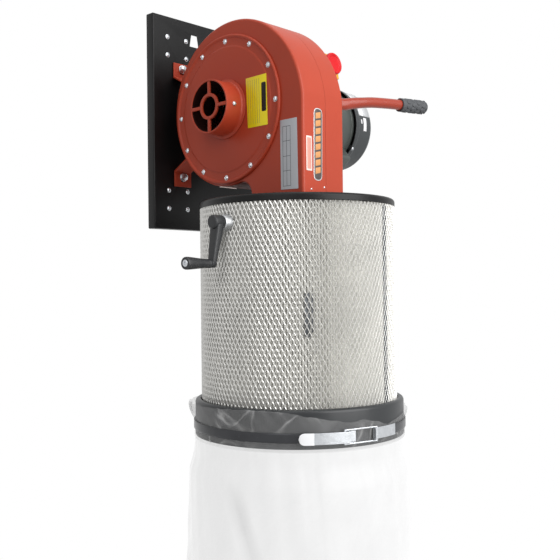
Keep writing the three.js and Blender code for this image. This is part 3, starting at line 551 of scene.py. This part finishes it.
def inlet():
    cover = [(50.3, -161.3), (50.3, -164.9), (117.5, -164.9), (120.2, -163.4), (133.6, -163.4),
             (135.2, -165.0), (137.2, -166.2), (139.6, -165.8), (141.3, -163.8), (141.3, -161.3)]
    look("inlet_cover", lathe(cover, "x", AXIS, 160, corner=0.8))
    tube = [(47, -207.7), (50, -207.7), (50, -171.2), (52, -167.9), (56, -167.2), (56, -165.2), (50, -165.2),
            (50, -159), (47, -159)]
    look("inlet_tube", lathe(tube, "x", AXIS, 128, corner=0.9))
    # A dark sleeve in the tube's bore: painted shade of the tube's inside.
    shade_liner = [(46.9, -206.6), (46.9, -160), (46.5, -160), (46.5, -206.6)]
    piece("inlet_bore_shade", lathe(shade_liner, "x", AXIS, 128), BORE_SHADE, "machine", slot="red_paint")
    ring = lathe(rectangle(18.5, 24.5, -207.5, -203), "x", AXIS, 96, corner=0.9)
    bar = slab("x", [(24, -3), (46.8, -3.4), (46.8, 3.4), (24, 3)], -207.3, -203.1, 0.8)
    spokes = [moved(bar, AXIS, turn_about("x", 90 * i)) for i in range(4)]
    look("inlet_guard", merge(ring, *spokes))
    screws, bolt_circle = [], 129.4
    for i in range(12):  # each screw sits a little askew, and its cross is turned by that
        a = math.radians(30 * i)
        y, z = AXIS[1] - bolt_circle * math.sin(a), bolt_circle * math.cos(a)
        screws.append(((-163.3, y, z), (-1, 0.01 * i, 0.02)))
    fasteners("cover_screws", pan_screw(4.1, 3.0), screws)
    fasteners("cover_screw_washers", WASHER, screws)
    look("guard_screw", moved(pan_screw(4.4, 3.2), (-189, AXIS[1] - 50.1, 0), aim((0, -1, 0))))


# ---- labels

def label(name, axis, height, outline, finish, thickness, corner):
    """A thin plate with round corners whose back lies at `height`; it grows towards minus."""
    part = slab(axis, rounded(outline, corner, 4), height - thickness, height, 0.08)
    piece(name, part, finish, "machine", slot="red_paint")


def cover_labels():
    yellow = [(-248.1, 48.5), (-300.9, 49.6), (-303.2, -43.5), (-252.7, -43.6)]
    label("cover_label", "x", -164.95, yellow, YELLOW_LABEL, 0.3, 0.8)
    bar = [(-288, 35), (-299.5, 35), (-300, -18), (-288.6, -18)]
    label("cover_label_bar", "x", -165.24, bar, BLACK, 0.08, 3.0)
    rules = []
    for y in np.linspace(-254, -282, 6):
        line = [(y - 0.95, -38), (y - 1.45, -38), (y - 0.25, 44), (y + 0.25, 44)]
        rules.append(slab("x", line, -165.34, -165.25, 0.02))
    piece("cover_label_rules", merge(*rules), INK, "machine", slot="red_paint")


def data_plate():
    """A blank table on a grey plate."""
    outline = [(-330.1, -39.8), (-370.4, -39.5), (-372.1, -165.0), (-330.9, -163.7)]
    label("data_plate", "x", -161.05, outline, GREY_LABEL, 0.4, 0.8)
    half = 0.4  # half a rule's width
    lines = [rectangle(y - half, y + half, -158, -52) for y in (-336.5, -345.5, -354.5)]
    lines += [rectangle(-354.9, -336.1, z - half, z + half) for z in (-158, -131, -105, -78, -52)]
    rules = [slab("x", line, -161.55, -161.4, 0.02) for line in lines]
    piece("data_plate_rules", merge(*rules), INK, "machine", slot="red_paint")


def band_labels():
    """The strip of plain blocks and the small label beside it, on the casing's front band."""
    front = -383.95
    strip = [(-131.3, -20), (-108.3, -20), (-110.6, -149), (-133.5, -149)]
    label("band_strip", "y", front, strip, SILVER_LABEL, 0.25, 11.0)
    inner = [(-130.0, -21.5), (-109.7, -21.5), (-112.0, -147.5), (-132.2, -147.5)]
    label("band_strip_inner", "y", front - 0.25, inner, STRIPE_LABEL, 0.12, 9.8)
    blocks = []
    for z in np.linspace(-29, -127, 8):
        middle = -119.6 + (z + 30) * 0.018
        block = [(middle - 7, z), (middle + 6.6, z + 3), (middle + 6.2, z - 7.6), (middle - 7.4, z - 10.6)]
        blocks.append(slab("y", rounded(block, 1.2, 3), -384.42, -384.33, 0.03))
    piece("band_strip_blocks", merge(*blocks), ORANGE, "machine", slot="red_paint")
    label("band_label", "y", front, rectangle(-152.5, -137.5, -72, -133), PALE_LABEL, 0.25, 1.0)
    plate_label()
    label("band_label_inner", "y", front - 0.25, rectangle(-150.3, -139.7, -75, -130), ROSE, 0.08, 1.0)


def plate_label():
    """A blank pale sticker low on the wall plate, behind the outlet."""
    for name, corners, low, high, edge, finish in (
            ("plate_label", (-22, 28, -121, -92), -20.35, -20.0, 0.1, PALE_LABEL),
            ("plate_label_rule", (-21, 27, -118.4, -117), -20.5, -20.3, 0.05, INK)):
        piece(name, slab("y", rectangle(*corners), low, high, edge), finish, "machine", slot="black_paint")


def wrapped_label(name, ends, angles, finish):
    """A label bent round the cowl between two x, about the motor axis; angles run from -Y upwards."""
    turns, radius = np.radians(np.linspace(*angles, 24)), 84.75
    rings = [placed("x", -radius * np.cos(turns), radius * np.sin(turns), x) for x in ends]
    part = moved(loft(rings, wrap=False), AXIS)
    piece(name, part, finish, "machine", slot="cowl_paint", solid=0.2)


# ---- motor

def motor():
    flange = rectangle(11.5, 79, -48.7, -38.3)
    look("motor_flange", lathe(flange, "x", AXIS, 128, corner=1.2))
    look("motor_body", lathe(rectangle(76, 79, -38, 121), "x", AXIS, 128, corner=0.8))
    shield = [(20.6, 121.3), (79, 121.3), (79, 129), (11.5, 129), (11.5, 127), (20.6, 127)]
    look("motor_rear_shield", lathe(shield, "x", AXIS, 128, corner=1.0))
    side = [(85, 127), (87, 127), (87, 136.5), (84.5, 141), (84.5, 177), (82, 182.5), (76.5, 186)]
    slots = []
    for i in range(8):
        a = math.radians(22.5 + 45 * i)
        bar = rounded(rectangle(-4, 4, 28, 68), 3.9, 5)
        slots.append(clockwise([(x * math.cos(a) - y * math.sin(a), x * math.sin(a) + y * math.cos(a))
                                for x, y in bar]))
    cowl = merge(lathe(rounded(side, 1.5, 3, False), "x", segments=128, closed=False),
                 face_of("x", 186, circle((0, 0), 76.5, 128), slots))
    look("fan_cowl", moved(cowl, AXIS), solid=1.8, even=True)
    lugs, screws = [], []
    for angle in (-35, 85, 205):
        lug = slab("x", rectangle(-86.5, -79.3, -5, 5), 127, 129.4, 0.4)
        lugs.append(moved(lug, AXIS, turn_about("x", -angle)))
        a = math.radians(angle)
        out = np.array([0, -math.cos(a), math.sin(a)])
        screws.append((AXIS + 87 * out + np.array([131.5, 0, 0]), out))
    piece("fan_cowl_lugs", merge(*lugs), COWL, "machine", slot="cowl_paint")
    fasteners("cowl_screws", pan_screw(3.6, 2.2), screws)
    softened("capacitor_box", 1.6)
    wrapped_label("cowl_label", (142, 178), (13.5, 74), SILVER_LABEL)
    wrapped_label("cowl_strip", (154, 164), (-8, 11), WHITE_PLASTIC)
    wrapped_label("cowl_dash", (146, 150), (2, 8), WHITE_PLASTIC)
    for node, bevel in (("motor_shaft", 0.3), ("impeller", 0.5), ("impeller_nut", 0.8), ("cooling_fan", 0.4)):
        softened(node, bevel)


# ---- switch

def switch():
    for node, bevel in (("terminal_box", 2.2), ("cable_gland", 0.6), ("switch_base", 1.0),
                        ("start_button", 1.4), ("stop_button", 1.4), ("switch_flap", 2.2)):
        softened(node, bevel)
    head = [(0, 3), (11.5, 2.6), (15.6, 2.2), (17.6, 0.4), (19.6, 0.0), (21.4, 0.6), (22.5, 3), (22.5, 8),
            (19.5, 11), (7, 11.4), (7, 20.4), (0, 20.4)]
    corners = [0, 2, 0.8, 0.8, 0.8, 0.8, 1.5, 1.5, 1.5, 1, 0.5, 0]
    part = lathe(rounded(head, corners, 4, False), "y", segments=96, closed=False)
    look("stop_mushroom", moved(part, (57, -280, 113), turn_about("x", -9.5)))


# ---- handle

# The middle line of the tube, from the weld on the casing to the grip.
HANDLE = [(-46.3, -372.4, 0.1), (-33, -375, 1), (-15, -378, 5), (8, -382, 9), (36, -387, 13),
          (70, -393, 15.5), (97, -398, 16.8), (115, -401.4, 17.4)]


def handle():
    path = smooth_path(HANDLE, 60)
    flat = np.clip((path[:, 0] - HANDLE[0][0]) / 60, 0, 1)
    scales = [(0.8 + 0.2 * s, 1.12 - 0.12 * s) for s in flat]
    look("handle_tube", sweep(path, circle((0, 0), 10, 40), scales), HANDLE_RED, crease=60)
    heights = np.concatenate(([-8, -8, -7.4, -6], np.arange(-5, 58, 0.7), [59, 61, 62.6, 63.6, 64]))
    collar_radii, radius, end = (10.2, 12.4, 13.2, 13.2), 12.2, 64
    first, last, pitch, across_count = 1.5, 57, 13.0, 8  # where the rows of oval pads stand
    angles = full_turn(168)
    rings = []
    for i, h in enumerate(heights):
        base = radius if h > first else collar_radii[min(i, 3)]
        if h > 58:
            base = radius * math.sqrt(max(0.0, 1 - ((h - 58) / 6.05) ** 2)) if h < end else 0.0
        row = (h - first) / pitch
        across = (row - np.floor(row) - 0.5) * 2
        column = angles / (2 * math.pi) * across_count + (np.floor(row) % 2) * 0.5
        along = (column - np.floor(column) - 0.5) * 2
        oval = fade(1 - (across / 0.93) ** 2 - (along / 0.9) ** 2, 0, 0.4)
        r = base + (1.6 * oval if first < h < last else 0 * angles)
        rings.append(placed("z", r * np.cos(angles), r * np.sin(angles), h))
    look("handle_grip", moved(loft(rings), HANDLE[-1], aim((0.983, -0.178, 0.036))), crease=60)


# ---- canister

def around(radius, angles, z):
    """Points round the canister's axis; the angle runs from the front (-Y) towards +X."""
    return placed("z", radius * np.sin(angles), -radius * np.cos(angles), z)


def canister():
    top, rim = -181, 172  # the cap's flat face
    hole = rounded(rectangle(-58.2, 53.2, 62.3, -67.6), 2, 3)
    flat = face_of("z", top, circle((0, 0), rim, 144), [clockwise(hole)])
    line = [(rim, top), (175.2, top), (178.3, -184.2), (178.3, -193.4), (177.4, -194.2), (176.4, -193.6)]
    skirt = lathe(rounded(line, [0, 3, 3, 0.5, 0.5, 0], 4, False), "z", segments=144, closed=False)
    look("canister_cap", moved(merge(skirt, flat), CAN), solid=1.4, even=True)
    pleats()
    expanded_metal()
    # Flat grey strips just behind the jacket, seen through its holes: the label's two dark marks, and at the
    # seam the overlapped jacket drawn as a strip of painted shade.
    for name, span, heights, radius in (
            ("filter_label", (-44.7, -42.0), (-419, -347), 176.9),
            ("filter_label_fold", (-41.0, -40.1), (-412, -349), 176.9),
            ("mesh_overlap_shade", (8.4, 12.4), (-539, -196), 177.0)):
        rows = [around(radius, np.radians(np.linspace(*span, 8)), z) for z in heights]
        piece(name, moved(loft(rows, wrap=False), CAN), SHADE, "machine", slot="galvanised", solid=0.3)
    look("filter_bottom_ring", lathe(rectangle(140, 178.7, -550, -540.3), "z", CAN, 144, corner=0.8))
    look("filter_gasket", lathe(rectangle(152, 177, -555.7, -550.3), "z", CAN, 144, corner=1.2))
    softened("gear_frame", 0.4)
    softened("lower_spider", 0.4)


def pleats():
    """The paper: folds standing in a ring, each with its outer edge a little out of line."""
    count, bottom, top = 220, -539.7, -190.5
    steps = np.arange(count * 4)
    wave = np.array([1.0, 0.5, 0.0, 0.5])[steps % 4]
    jitter = random.uniform(-0.6, 0.6, count * 4)
    angles = 2 * math.pi * steps / (count * 4)
    outer = 167 + 8.8 * wave ** 0.8 + 0.6 * jitter
    inner = outer - 2.2
    line = ((inner, bottom), (outer, bottom), (outer, -400), (outer, -300), (outer, top), (inner, top))
    rings = [placed("z", r * np.cos(angles), r * np.sin(angles), z) for r, z in line]
    look("filter_pleats", moved(loft(rings, closed=True), CAN), crease=25)


def expanded_metal():
    """The jacket: strands that cross in diamonds, tilted as the pressing leaves them, with short bonds."""
    columns, rows = 132, 40
    low, high = -540.0, -194.4
    radius, width, thick, tilt, press = 177.9, 1.8, 0.65, -0.7, 0.95
    pitch, step = (high - low) / rows, 2 * math.pi / columns
    ends = []
    for row in range(rows):
        start = np.arange(columns) + 0.5 * (row % 2)
        for shift in (-0.5, 0.5):
            ends.append(np.stack((start * step, np.full(columns, low + row * pitch),
                                  (start + shift) * step, np.full(columns, low + (row + 1) * pitch)), -1))
    a0, z0, a1, z1 = np.concatenate(ends).T
    rings = []
    # up the strand: share of its height, share of its way round, and how wide it is there
    stations = ((0.0, 0.0, 1.2), (0.07, 0.0, 1.15), (0.5, 0.5, 0.9), (0.93, 1.0, 1.15), (1.0, 1.0, 1.2))
    for share, along, wide in stations:
        a, z = a0 + (a1 - a0) * along, z0 + (z1 - z0) * share
        corners = []
        for u, v in ((-1, -1), (1, -1), (1, 1), (-1, 1)):
            across = u * wide * width / 2 * math.cos(tilt) - v * thick / 2 * math.sin(tilt)
            out = u * wide * width / 2 * math.sin(tilt) + v * thick / 2 * math.cos(tilt)
            r, angle = radius + out * press, a + across / radius
            corners.append(np.stack((r * np.cos(angle), r * np.sin(angle), z), -1))
        rings.append(np.stack(corners, 1))
    points = np.stack(rings, 1).reshape(-1, 3)
    quads = [(i * 4 + j, i * 4 + (j + 1) % 4, (i + 1) * 4 + (j + 1) % 4, (i + 1) * 4 + j)
             for i in range(len(stations) - 1) for j in range(4)]
    base = np.arange(len(a0))[:, None, None] * len(stations) * 4 + np.array(quads)[None]
    faces = [tuple(int(v) for v in f) for f in base.reshape(-1, 4)]
    look("filter_mesh", moved((points, faces), CAN), crease=30)


# ---- crank

def crank():
    at = CAN + np.array([0, 0, -227.0])
    grip_at = at + np.array([0, 0, -69.8])
    bush = [(6.3, -191.2), (12, -191.2), (12.6, -190), (15, -178.4), (15, -176.5), (12, -176.5), (12, -134),
            (6.3, -134)]
    look("crank_bush", lathe(bush, "x", at, 64, corner=0.6))
    softened("crank_shaft", 0.3)
    softened("bevel_pinion", 0.3)
    look("crank_arm", crank_arm(at), crease=40)
    inner, end = -217.3, -272.3
    grip = [(3.7, inner - 0.3), (7, inner - 0.3), (7.9, inner - 2), (7.6, inner - 6), (8.2, inner - 20),
            (10.0, end + 14), (10.6, end + 6), (10.5, end + 2), (9.6, end), (7, end), (7, end + 3),
            (3.7, end + 3)]
    corners = [0, 0.8, 1.5, 3, 8, 5, 3, 1.5, 1, 0.3, 0.3, 0]
    look("crank_grip", lathe(rounded(grip, corners, 4), "x", grip_at, 64))
    screw = [(0, inner + 8), (3.3, inner + 8), (3.3, end + 2.4), (6.3, end + 2.4), (6.3, end + 0.6),
             (5.4, end - 0.2), (2.6, end - 0.4), (2.2, end + 1.4), (0, end + 1.4)]
    look("grip_screw", lathe(screw, "x", grip_at, 48, closed=False, corner=0.3))
    for node, bevel in (("beater_shaft", 0.3), ("bevel_wheel", 0.3), ("beater_flap_front", 0.4),
                        ("beater_flap_rear", 0.4)):
        softened(node, bevel)


def crank_arm(at):
    """The arm: a stadium that narrows downwards and leans outwards, with a round hub above."""
    power, count = 0.42, 40  # how square each section is, and its points
    rows = []
    for z, half, x_out, x_in in ((11.4, 4.0, -207, -192.4), (9.5, 8.2, -207.6, -192.4), (5, 10.6, -208, -192.4),
                                 (0, 11.4, -208.2, -192.4), (-8, 11.0, -209, -192.6),
                                 (-25, 10.0, -211.4, -197), (-45, 8.6, -214.3, -201.8),
                                 (-62, 7.5, -216.6, -206), (-70, 7.0, -217.3, -207.3),
                                 (-74.5, 5.4, -217.3, -207.5), (-76.8, 2.6, -217.2, -208)):
        middle, depth = (x_out + x_in) / 2, (x_in - x_out) / 2
        c, s = np.cos(full_turn(count)), np.sin(full_turn(count))
        rows.append(placed("z", middle + depth * np.copysign(np.abs(c) ** power, c),
                           half * np.copysign(np.abs(s) ** power, s), z))
    hub = lathe([(0, -213.4), (9.8, -213.4), (11.6, -211.6), (11.8, -208), (11.8, -191.8), (6.4, -191.8),
                 (6.4, -200), (0, -200)], "x", segments=64, closed=False, corner=1.0)
    boss = lathe(rectangle(3.8, 7.1, -217.4, -214), "x", (0, 0, -69.8), 48, corner=0.3)
    return moved(merge(loft(capped(rows)), hub, boss), at)


# ---- collar, strap and latch

def collar():
    bead, bead_z = 184.4, -543  # the rolled upper edge
    line = [(190.4, -601), (190.4, bead_z)]
    line += [(bead + 6 * math.cos(t), bead_z + 6 * math.sin(t)) for t in np.linspace(0.2, math.pi / 2, 7)]
    line += [(181.4, -537), (180.4, -538), (180.3, -556), (150, -556), (150, -558), (182.3, -558),
             (182.3, -539), (bead, -539)]
    line += [(bead + 4 * math.cos(t), bead_z + 4 * math.sin(t)) for t in np.linspace(math.pi / 2, 0, 5)]
    line += [(188.4, -601)]
    look("collar_ring", lathe(line, "z", CAN, 160))
    turns = np.radians(np.linspace(-9, 340, 240))
    section = ((-590, 193.1), (-589.4, 193.5), (-586, 193.55), (-582, 193.6), (-578, 193.55), (-574.6, 193.5),
               (-574, 193.1))
    rings = [around(r, turns, z) for z, r in section]
    look("band_clamp", moved(loft(rings, wrap=False), CAN), STRAP, solid=0.9)
    for node, bevel in (("latch_base", 0.3), ("latch_catch", 0.4), ("latch_lever", 0.5), ("latch_bail", 0.25)):
        softened(node, bevel)
    # the lever's white end, with a round tip
    radii, heights = np.array([203.2, 204.6, 204.9, 204.9, 204.6, 203.2]), np.array([-1, -1, -0.6, 0.6, 1, 1])
    rings = []
    for i, a in enumerate(np.radians(np.linspace(-48.6, -41.5, 14))):
        half = 9.6 * math.sqrt(max(0.0, 1 - (1 - min(1.0, i / 5)) ** 2)) + 0.05
        rings.append(around(radii, a, -582 + half * heights))
    piece("latch_tab", moved(loft(capped(rings)), CAN), WHITE_PLASTIC, "latch_lever", slot="zinc")


# ---- film bag

# The film's turned-up edge over the collar: degrees from the front, height.
EDGE = [(-180, -546), (-150, -543), (-112.6, -542), (-96, -541), (-73, -538), (-58, -539), (-48, -545),
        (-22.7, -560), (-14, -557), (-7, -562), (3, -571.5), (17.7, -563), (40, -556), (75, -549),
        (110, -543), (150, -548), (180, -546)]
# The bag's outline: height, radius.
PROFILE = [(-541, 192.6), (-560, 192.2), (-572, 191.9), (-592, 191.6), (-603, 191.8), (-632, 192.6),
           (-648, 197.0), (-664, 202), (-690, 203.6), (-800, 205.5), (-900, 208.5), (-1000, 210.5),
           (-1090, 209), (-1130, 200), (-1160, 176), (-1180, 132), (-1190, 80), (-1194, 30), (-1195, 0)]


def waves(angles, count, seed):
    """A smooth periodic line with sharp ridges, from about -1 to 1, with `count` folds round the bag."""
    rng = np.random.RandomState(seed)
    total = np.zeros_like(angles)
    for k in (count, int(count * 1.37) + 1, int(count * 0.71) + 1):
        total = total + rng.uniform(0.5, 1) * np.sin(k * angles + rng.uniform(0, 6.28))
    return np.tanh(total * 1.1)


def fade(value, start, end):
    share = np.clip((value - start) / (end - start), 0, 1)
    return share * share * (3 - 2 * share)


def bag():
    count = 720
    angles = np.linspace(-math.pi, math.pi, count, endpoint=False)
    degrees = np.degrees(angles)
    edge = np.interp(degrees, *np.array(EDGE).T) + 0.66 * waves(angles, 41, 5)
    tuck, neck, belly, bottom = -574.5, -625, -1090, -1195  # strap's top, below the collar, lower bend, end
    strap_top, strap_foot = -573.2, -590.8
    down = np.array(PROFILE)[::-1]
    stages = [np.linspace(i, i + 1, rows)[min(i, 1):] for i, rows in enumerate((20, 26, 60, 30))]
    rings = []
    for h in np.concatenate(stages):
        if h <= 1:
            z = edge + (tuck - edge) * h
        elif h <= 2:
            z = np.full(count, tuck + (neck - tuck) * (h - 1))
        elif h <= 3:
            z = np.full(count, neck + (belly - neck) * (h - 2))
        else:
            z = np.full(count, belly + (bottom - belly) * (h - 3) ** 0.8)
        r = np.interp(z, down[:, 0], down[:, 1])
        drop, lift = np.maximum(0, -592 - z), np.maximum(0, z + 572)
        # fine gathers below the strap, longer folds under them, broad ones down the bag
        near = np.exp(-drop / 26.0) * fade(drop, 0, 7)
        r = r + 0.5 * near * waves(angles + z * 0.0006, 58, 1)
        middle = fade(drop, 4, 60) * np.exp(-drop / 160.0)
        r = r + 1.7 * middle * waves(angles + z * 0.0004, 21, 2)
        broad = fade(drop, 30, 220)
        r = r + 4.2 * broad * waves(angles + z * 0.0009, 7, 3) * (1 - 0.6 * fade(-z, 1080, 1190))
        r = r + 0.9 * broad * waves(angles - z * 0.003, 13, 4)
        # one leaning valley at the left, and the gathers at the bottom
        valley = np.exp(-((degrees + 84.7 - (-638 - z) * 0.1) / 4.5) ** 2)
        r = r - 5.0 * valley * fade(-z, 640, 710) * (1 - fade(-z, 820, 960))
        r = r + 5.0 * fade(-z, 1120, 1185) * fade(r, 10, 120) * waves(angles, 26, 6)
        # the turned-up edge, loose over the collar and standing off at two places
        flare = fade(lift, 0, 26)
        r = r + 1.6 * flare * (1 + waves(angles + z * 0.004, 33, 7))
        r = r + 0.5 * flare * waves(angles + z * 0.05, 61, 8)
        share = np.clip((z + 574) / (edge + 574), 0, 1)
        stand = 7.5 * np.exp(-((degrees + 134) / 26) ** 2) + 3.5 * np.exp(-((degrees - 36) / 9) ** 2)
        r = r + stand * np.sin(math.pi * 0.66 * share ** 0.8) * (z > -574)
        # outside the collar, under the strap and behind the latch
        r = np.where(z > -606, np.maximum(r, 191.35 * fade(z, -606, -596)), r)
        r = np.where((z <= strap_top) & (z >= strap_foot), 191.5 + 0.15 * waves(angles, 50, 9), r)
        behind_latch = (z > -596) & (z < -568) & (degrees > -34) & (degrees < 12)
        r = np.where(behind_latch, np.minimum(r, 192.2), r)
        if h <= 1:
            z = z + 0.6 * waves(angles + 2 * h, 47, 10) * h * (1 - h)
        rings.append(around(r, angles, z))
    part = moved(loft(rings), CAN)
    made = piece("dust_bag_film", part, film_material(), "machine", ("dust_bag",), crease=180)


def film_material():
    """Thin polythene: clear where it lies on the dark collar, milky below it; it glows with painted light, and
    its fine crease lines are painted highlights.
    """
    made = bpy.data.materials.new("polythene_film")
    made.use_nodes = True
    nodes, links = made.node_tree.nodes, made.node_tree.links
    shader = nodes["Principled BSDF"]
    shader.inputs["Specular IOR Level"].default_value = 0.25
    # the film glows: painted light, its strength set by the emission colour below
    shader.inputs["Emission Strength"].default_value = 1.0
    where = nodes.new("ShaderNodeTexCoord")
    split = nodes.new("ShaderNodeSeparateXYZ")
    links.new(where.outputs["Object"], split.inputs["Vector"])
    height = split.outputs["Z"]

    def noise(size, detail, twist, lean=0.0, stretch=1.0):
        mapping = nodes.new("ShaderNodeMapping")
        mapping.vector_type = "TEXTURE"
        mapping.inputs["Rotation"].default_value = (lean, lean, 0)
        mapping.inputs["Scale"].default_value = (1, 1, stretch)
        links.new(where.outputs["Object"], mapping.inputs["Vector"])
        node = nodes.new("ShaderNodeTexNoise")
        node.inputs["Scale"].default_value = size
        node.inputs["Detail"].default_value = detail
        node.inputs["Distortion"].default_value = twist
        links.new(mapping.outputs["Vector"], node.inputs["Vector"])
        return node.outputs["Fac"]

    def spread(value, low, high, at_low, at_high):
        node = nodes.new("ShaderNodeMapRange")
        for name, number in (("From Min", low), ("From Max", high), ("To Min", at_low), ("To Max", at_high)):
            node.inputs[name].default_value = number
        links.new(value, node.inputs["Value"])
        return node.outputs["Result"]

    def maths(kind, first, second):
        node = nodes.new("ShaderNodeMath")
        node.operation = kind
        links.new(first, node.inputs[0])
        if isinstance(second, float):
            node.inputs[1].default_value = second
        else:
            links.new(second, node.inputs[1])
        return node.outputs["Value"]

    def along(direction):
        node = nodes.new("ShaderNodeVectorMath")
        node.operation = "DOT_PRODUCT"
        node.inputs[1].default_value = direction
        links.new(where.outputs["Object"], node.inputs[0])
        return node.outputs["Value"]

    # thin bright lines along the film's creases: painted highlights, drawn as more opaque glowing film over the
    # collar
    def crease_highlight(size, lean, width, strength):
        crease = maths("ABSOLUTE", maths("SUBTRACT", noise(size, 1.5, 0.3, lean, 3.0), 0.5), 0.0)
        return spread(crease, 0.0, width, strength, 0.0)

    both = maths("ADD", crease_highlight(17, 0.62, 0.03, 0.5), crease_highlight(13, -0.5, 0.024, 0.4))
    patchy = maths("MULTIPLY", both, spread(noise(14, 2, 0.3), 0.42, 0.6, 0.0, 1.0))
    lines = maths("MULTIPLY", patchy, spread(height, -0.604, -0.598, 0.0, 1.0))
    cloud = spread(noise(16, 3, 0.4, 0.6, 2.5), 0.5, 0.75, 0.0, 0.2)
    clear = maths("ADD", lines, cloud)
    milky = spread(height, -0.607, -0.602, 0.86, 0.26)
    total = maths("ADD", milky, clear)
    links.new(spread(total, 0.0, 1.0, 0.0, 1.0), shader.inputs["Alpha"])
    tone = nodes.new("ShaderNodeValToRGB")
    tone.color_ramp.elements[0].color = (0.18, 0.18, 0.184, 1)
    tone.color_ramp.elements[1].color = (0.23, 0.23, 0.23, 1)
    links.new(noise(20, 4, 0.5), tone.inputs["Fac"])
    links.new(tone.outputs["Color"], shader.inputs["Base Color"])
    links.new(spread(noise(30, 4, 0.5), 0.0, 1.0, 0.3, 0.5), shader.inputs["Roughness"])
    # the painted shadow of one leaning fold on the near side, taken off the glow
    off = maths("ABSOLUTE", maths("ADD", along((0.684, -0.7295, 0.3076)), 0.1617), 0.0)
    front = along((-0.73, -0.68, 0.0))
    below = maths("MULTIPLY", spread(height, -0.70, -0.65, 1.0, 0.0), spread(height, -0.95, -0.80, 0.0, 1.0))
    near = maths("MULTIPLY", below, spread(front, 0.38, 0.42, 0.0, 1.0))
    painted_shadow = maths("MULTIPLY", spread(off, 0.0, 0.02, -0.11, 0.0), near)
    # the glow is painted light: strong below the collar, faint over it, less in the painted shadow
    level = maths("ADD", spread(height, -0.607, -0.600, 0.655, 0.16), painted_shadow)
    painted_glow = nodes.new("ShaderNodeCombineColor")
    for channel in ("Red", "Green", "Blue"):
        links.new(level, painted_glow.inputs[channel])
    links.new(painted_glow.outputs["Color"], shader.inputs["Emission Color"])
    bump = nodes.new("ShaderNodeBump")
    bump.inputs["Strength"].default_value = 0.25
    bump.inputs["Distance"].default_value = 0.003
    links.new(noise(9, 2, 0.5, 0.4, 1.6), bump.inputs["Height"])
    links.new(bump.outputs["Normal"], shader.inputs["Normal"])
    return made


# ---- stage and light

def add_light(name, place, target, size, power):
    lamp = bpy.data.lights.new(name, "AREA")
    lamp.shape = "RECTANGLE"
    lamp.size, lamp.size_y = size
    lamp.energy = power
    made = bpy.data.objects.new(name, lamp)
    made.location = place
    made.rotation_euler = (Vector(target) - Vector(place)).to_track_quat("-Z", "Y").to_euler()
    bpy.context.scene.collection.objects.link(made)


def stage():
    floor = bpy.data.meshes.new("floor")
    rim = [(x, y, -1.32) for x, y in circle((-0.1, -0.3), 1.25, 96)]
    floor.from_pydata(rim, [], [tuple(range(96))])
    made = bpy.data.objects.new("floor", floor)
    floor.materials.append(material("floor_paint", "f4f4f2", 0.8, mottle=0.01))
    bpy.context.scene.collection.objects.link(made)
    world = bpy.data.worlds.new("studio")
    bpy.context.scene.world = world
    world.use_nodes = True
    nodes, links = world.node_tree.nodes, world.node_tree.links
    seen = nodes.new("ShaderNodeBackground")
    seen.inputs["Strength"].default_value = 1.0
    seen.inputs["Color"].default_value = (1, 1, 1, 1)
    fill = nodes["Background"]
    fill.inputs["Color"].default_value = (1, 1, 1, 1)
    glossy = nodes.new("ShaderNodeMapRange")
    glossy.inputs["To Min"].default_value = 0.28
    glossy.inputs["To Max"].default_value = 0.8
    path = nodes.new("ShaderNodeLightPath")
    links.new(path.outputs["Is Glossy Ray"], glossy.inputs["Value"])
    links.new(glossy.outputs["Result"], fill.inputs["Strength"])
    mix = nodes.new("ShaderNodeMixShader")
    links.new(path.outputs["Is Camera Ray"], mix.inputs["Fac"])
    links.new(fill.outputs["Background"], mix.inputs[1])
    links.new(seen.outputs["Background"], mix.inputs[2])
    links.new(mix.outputs["Shader"], nodes["World Output"].inputs["Surface"])
    add_light("key", (0.15, -2.9, 0.7), (0, -0.25, -0.3), (2.6, 3.2), 108)
    add_light("left_fill", (-2.4, -1.2, 0.9), (0, -0.25, -0.4), (1.2, 1.8), 10)
    add_light("top", (-0.3, -0.6, 2.0), (0, -0.25, 0), (1.5, 1.5), 12)
    bpy.context.scene.view_settings.view_transform = "Standard"


# ---- build

wall_plate()
wall_bolts()
softened("blower_bracket_upper", 0.7)
softened("blower_bracket_lower", 0.7)
softened("motor_saddle", 0.7)
casing()
inlet()
cover_labels()
data_plate()
band_labels()
motor()
switch()
handle()
canister()
crank()
collar()
bag()
for node_name, node in frame["nodes"].items():
    if node.hide_render:
        continue
    node.data.materials.clear()
    node.data.materials.append(BY_SLOT.get(SLOT_OF[node_name], PLASTIC))
stage()
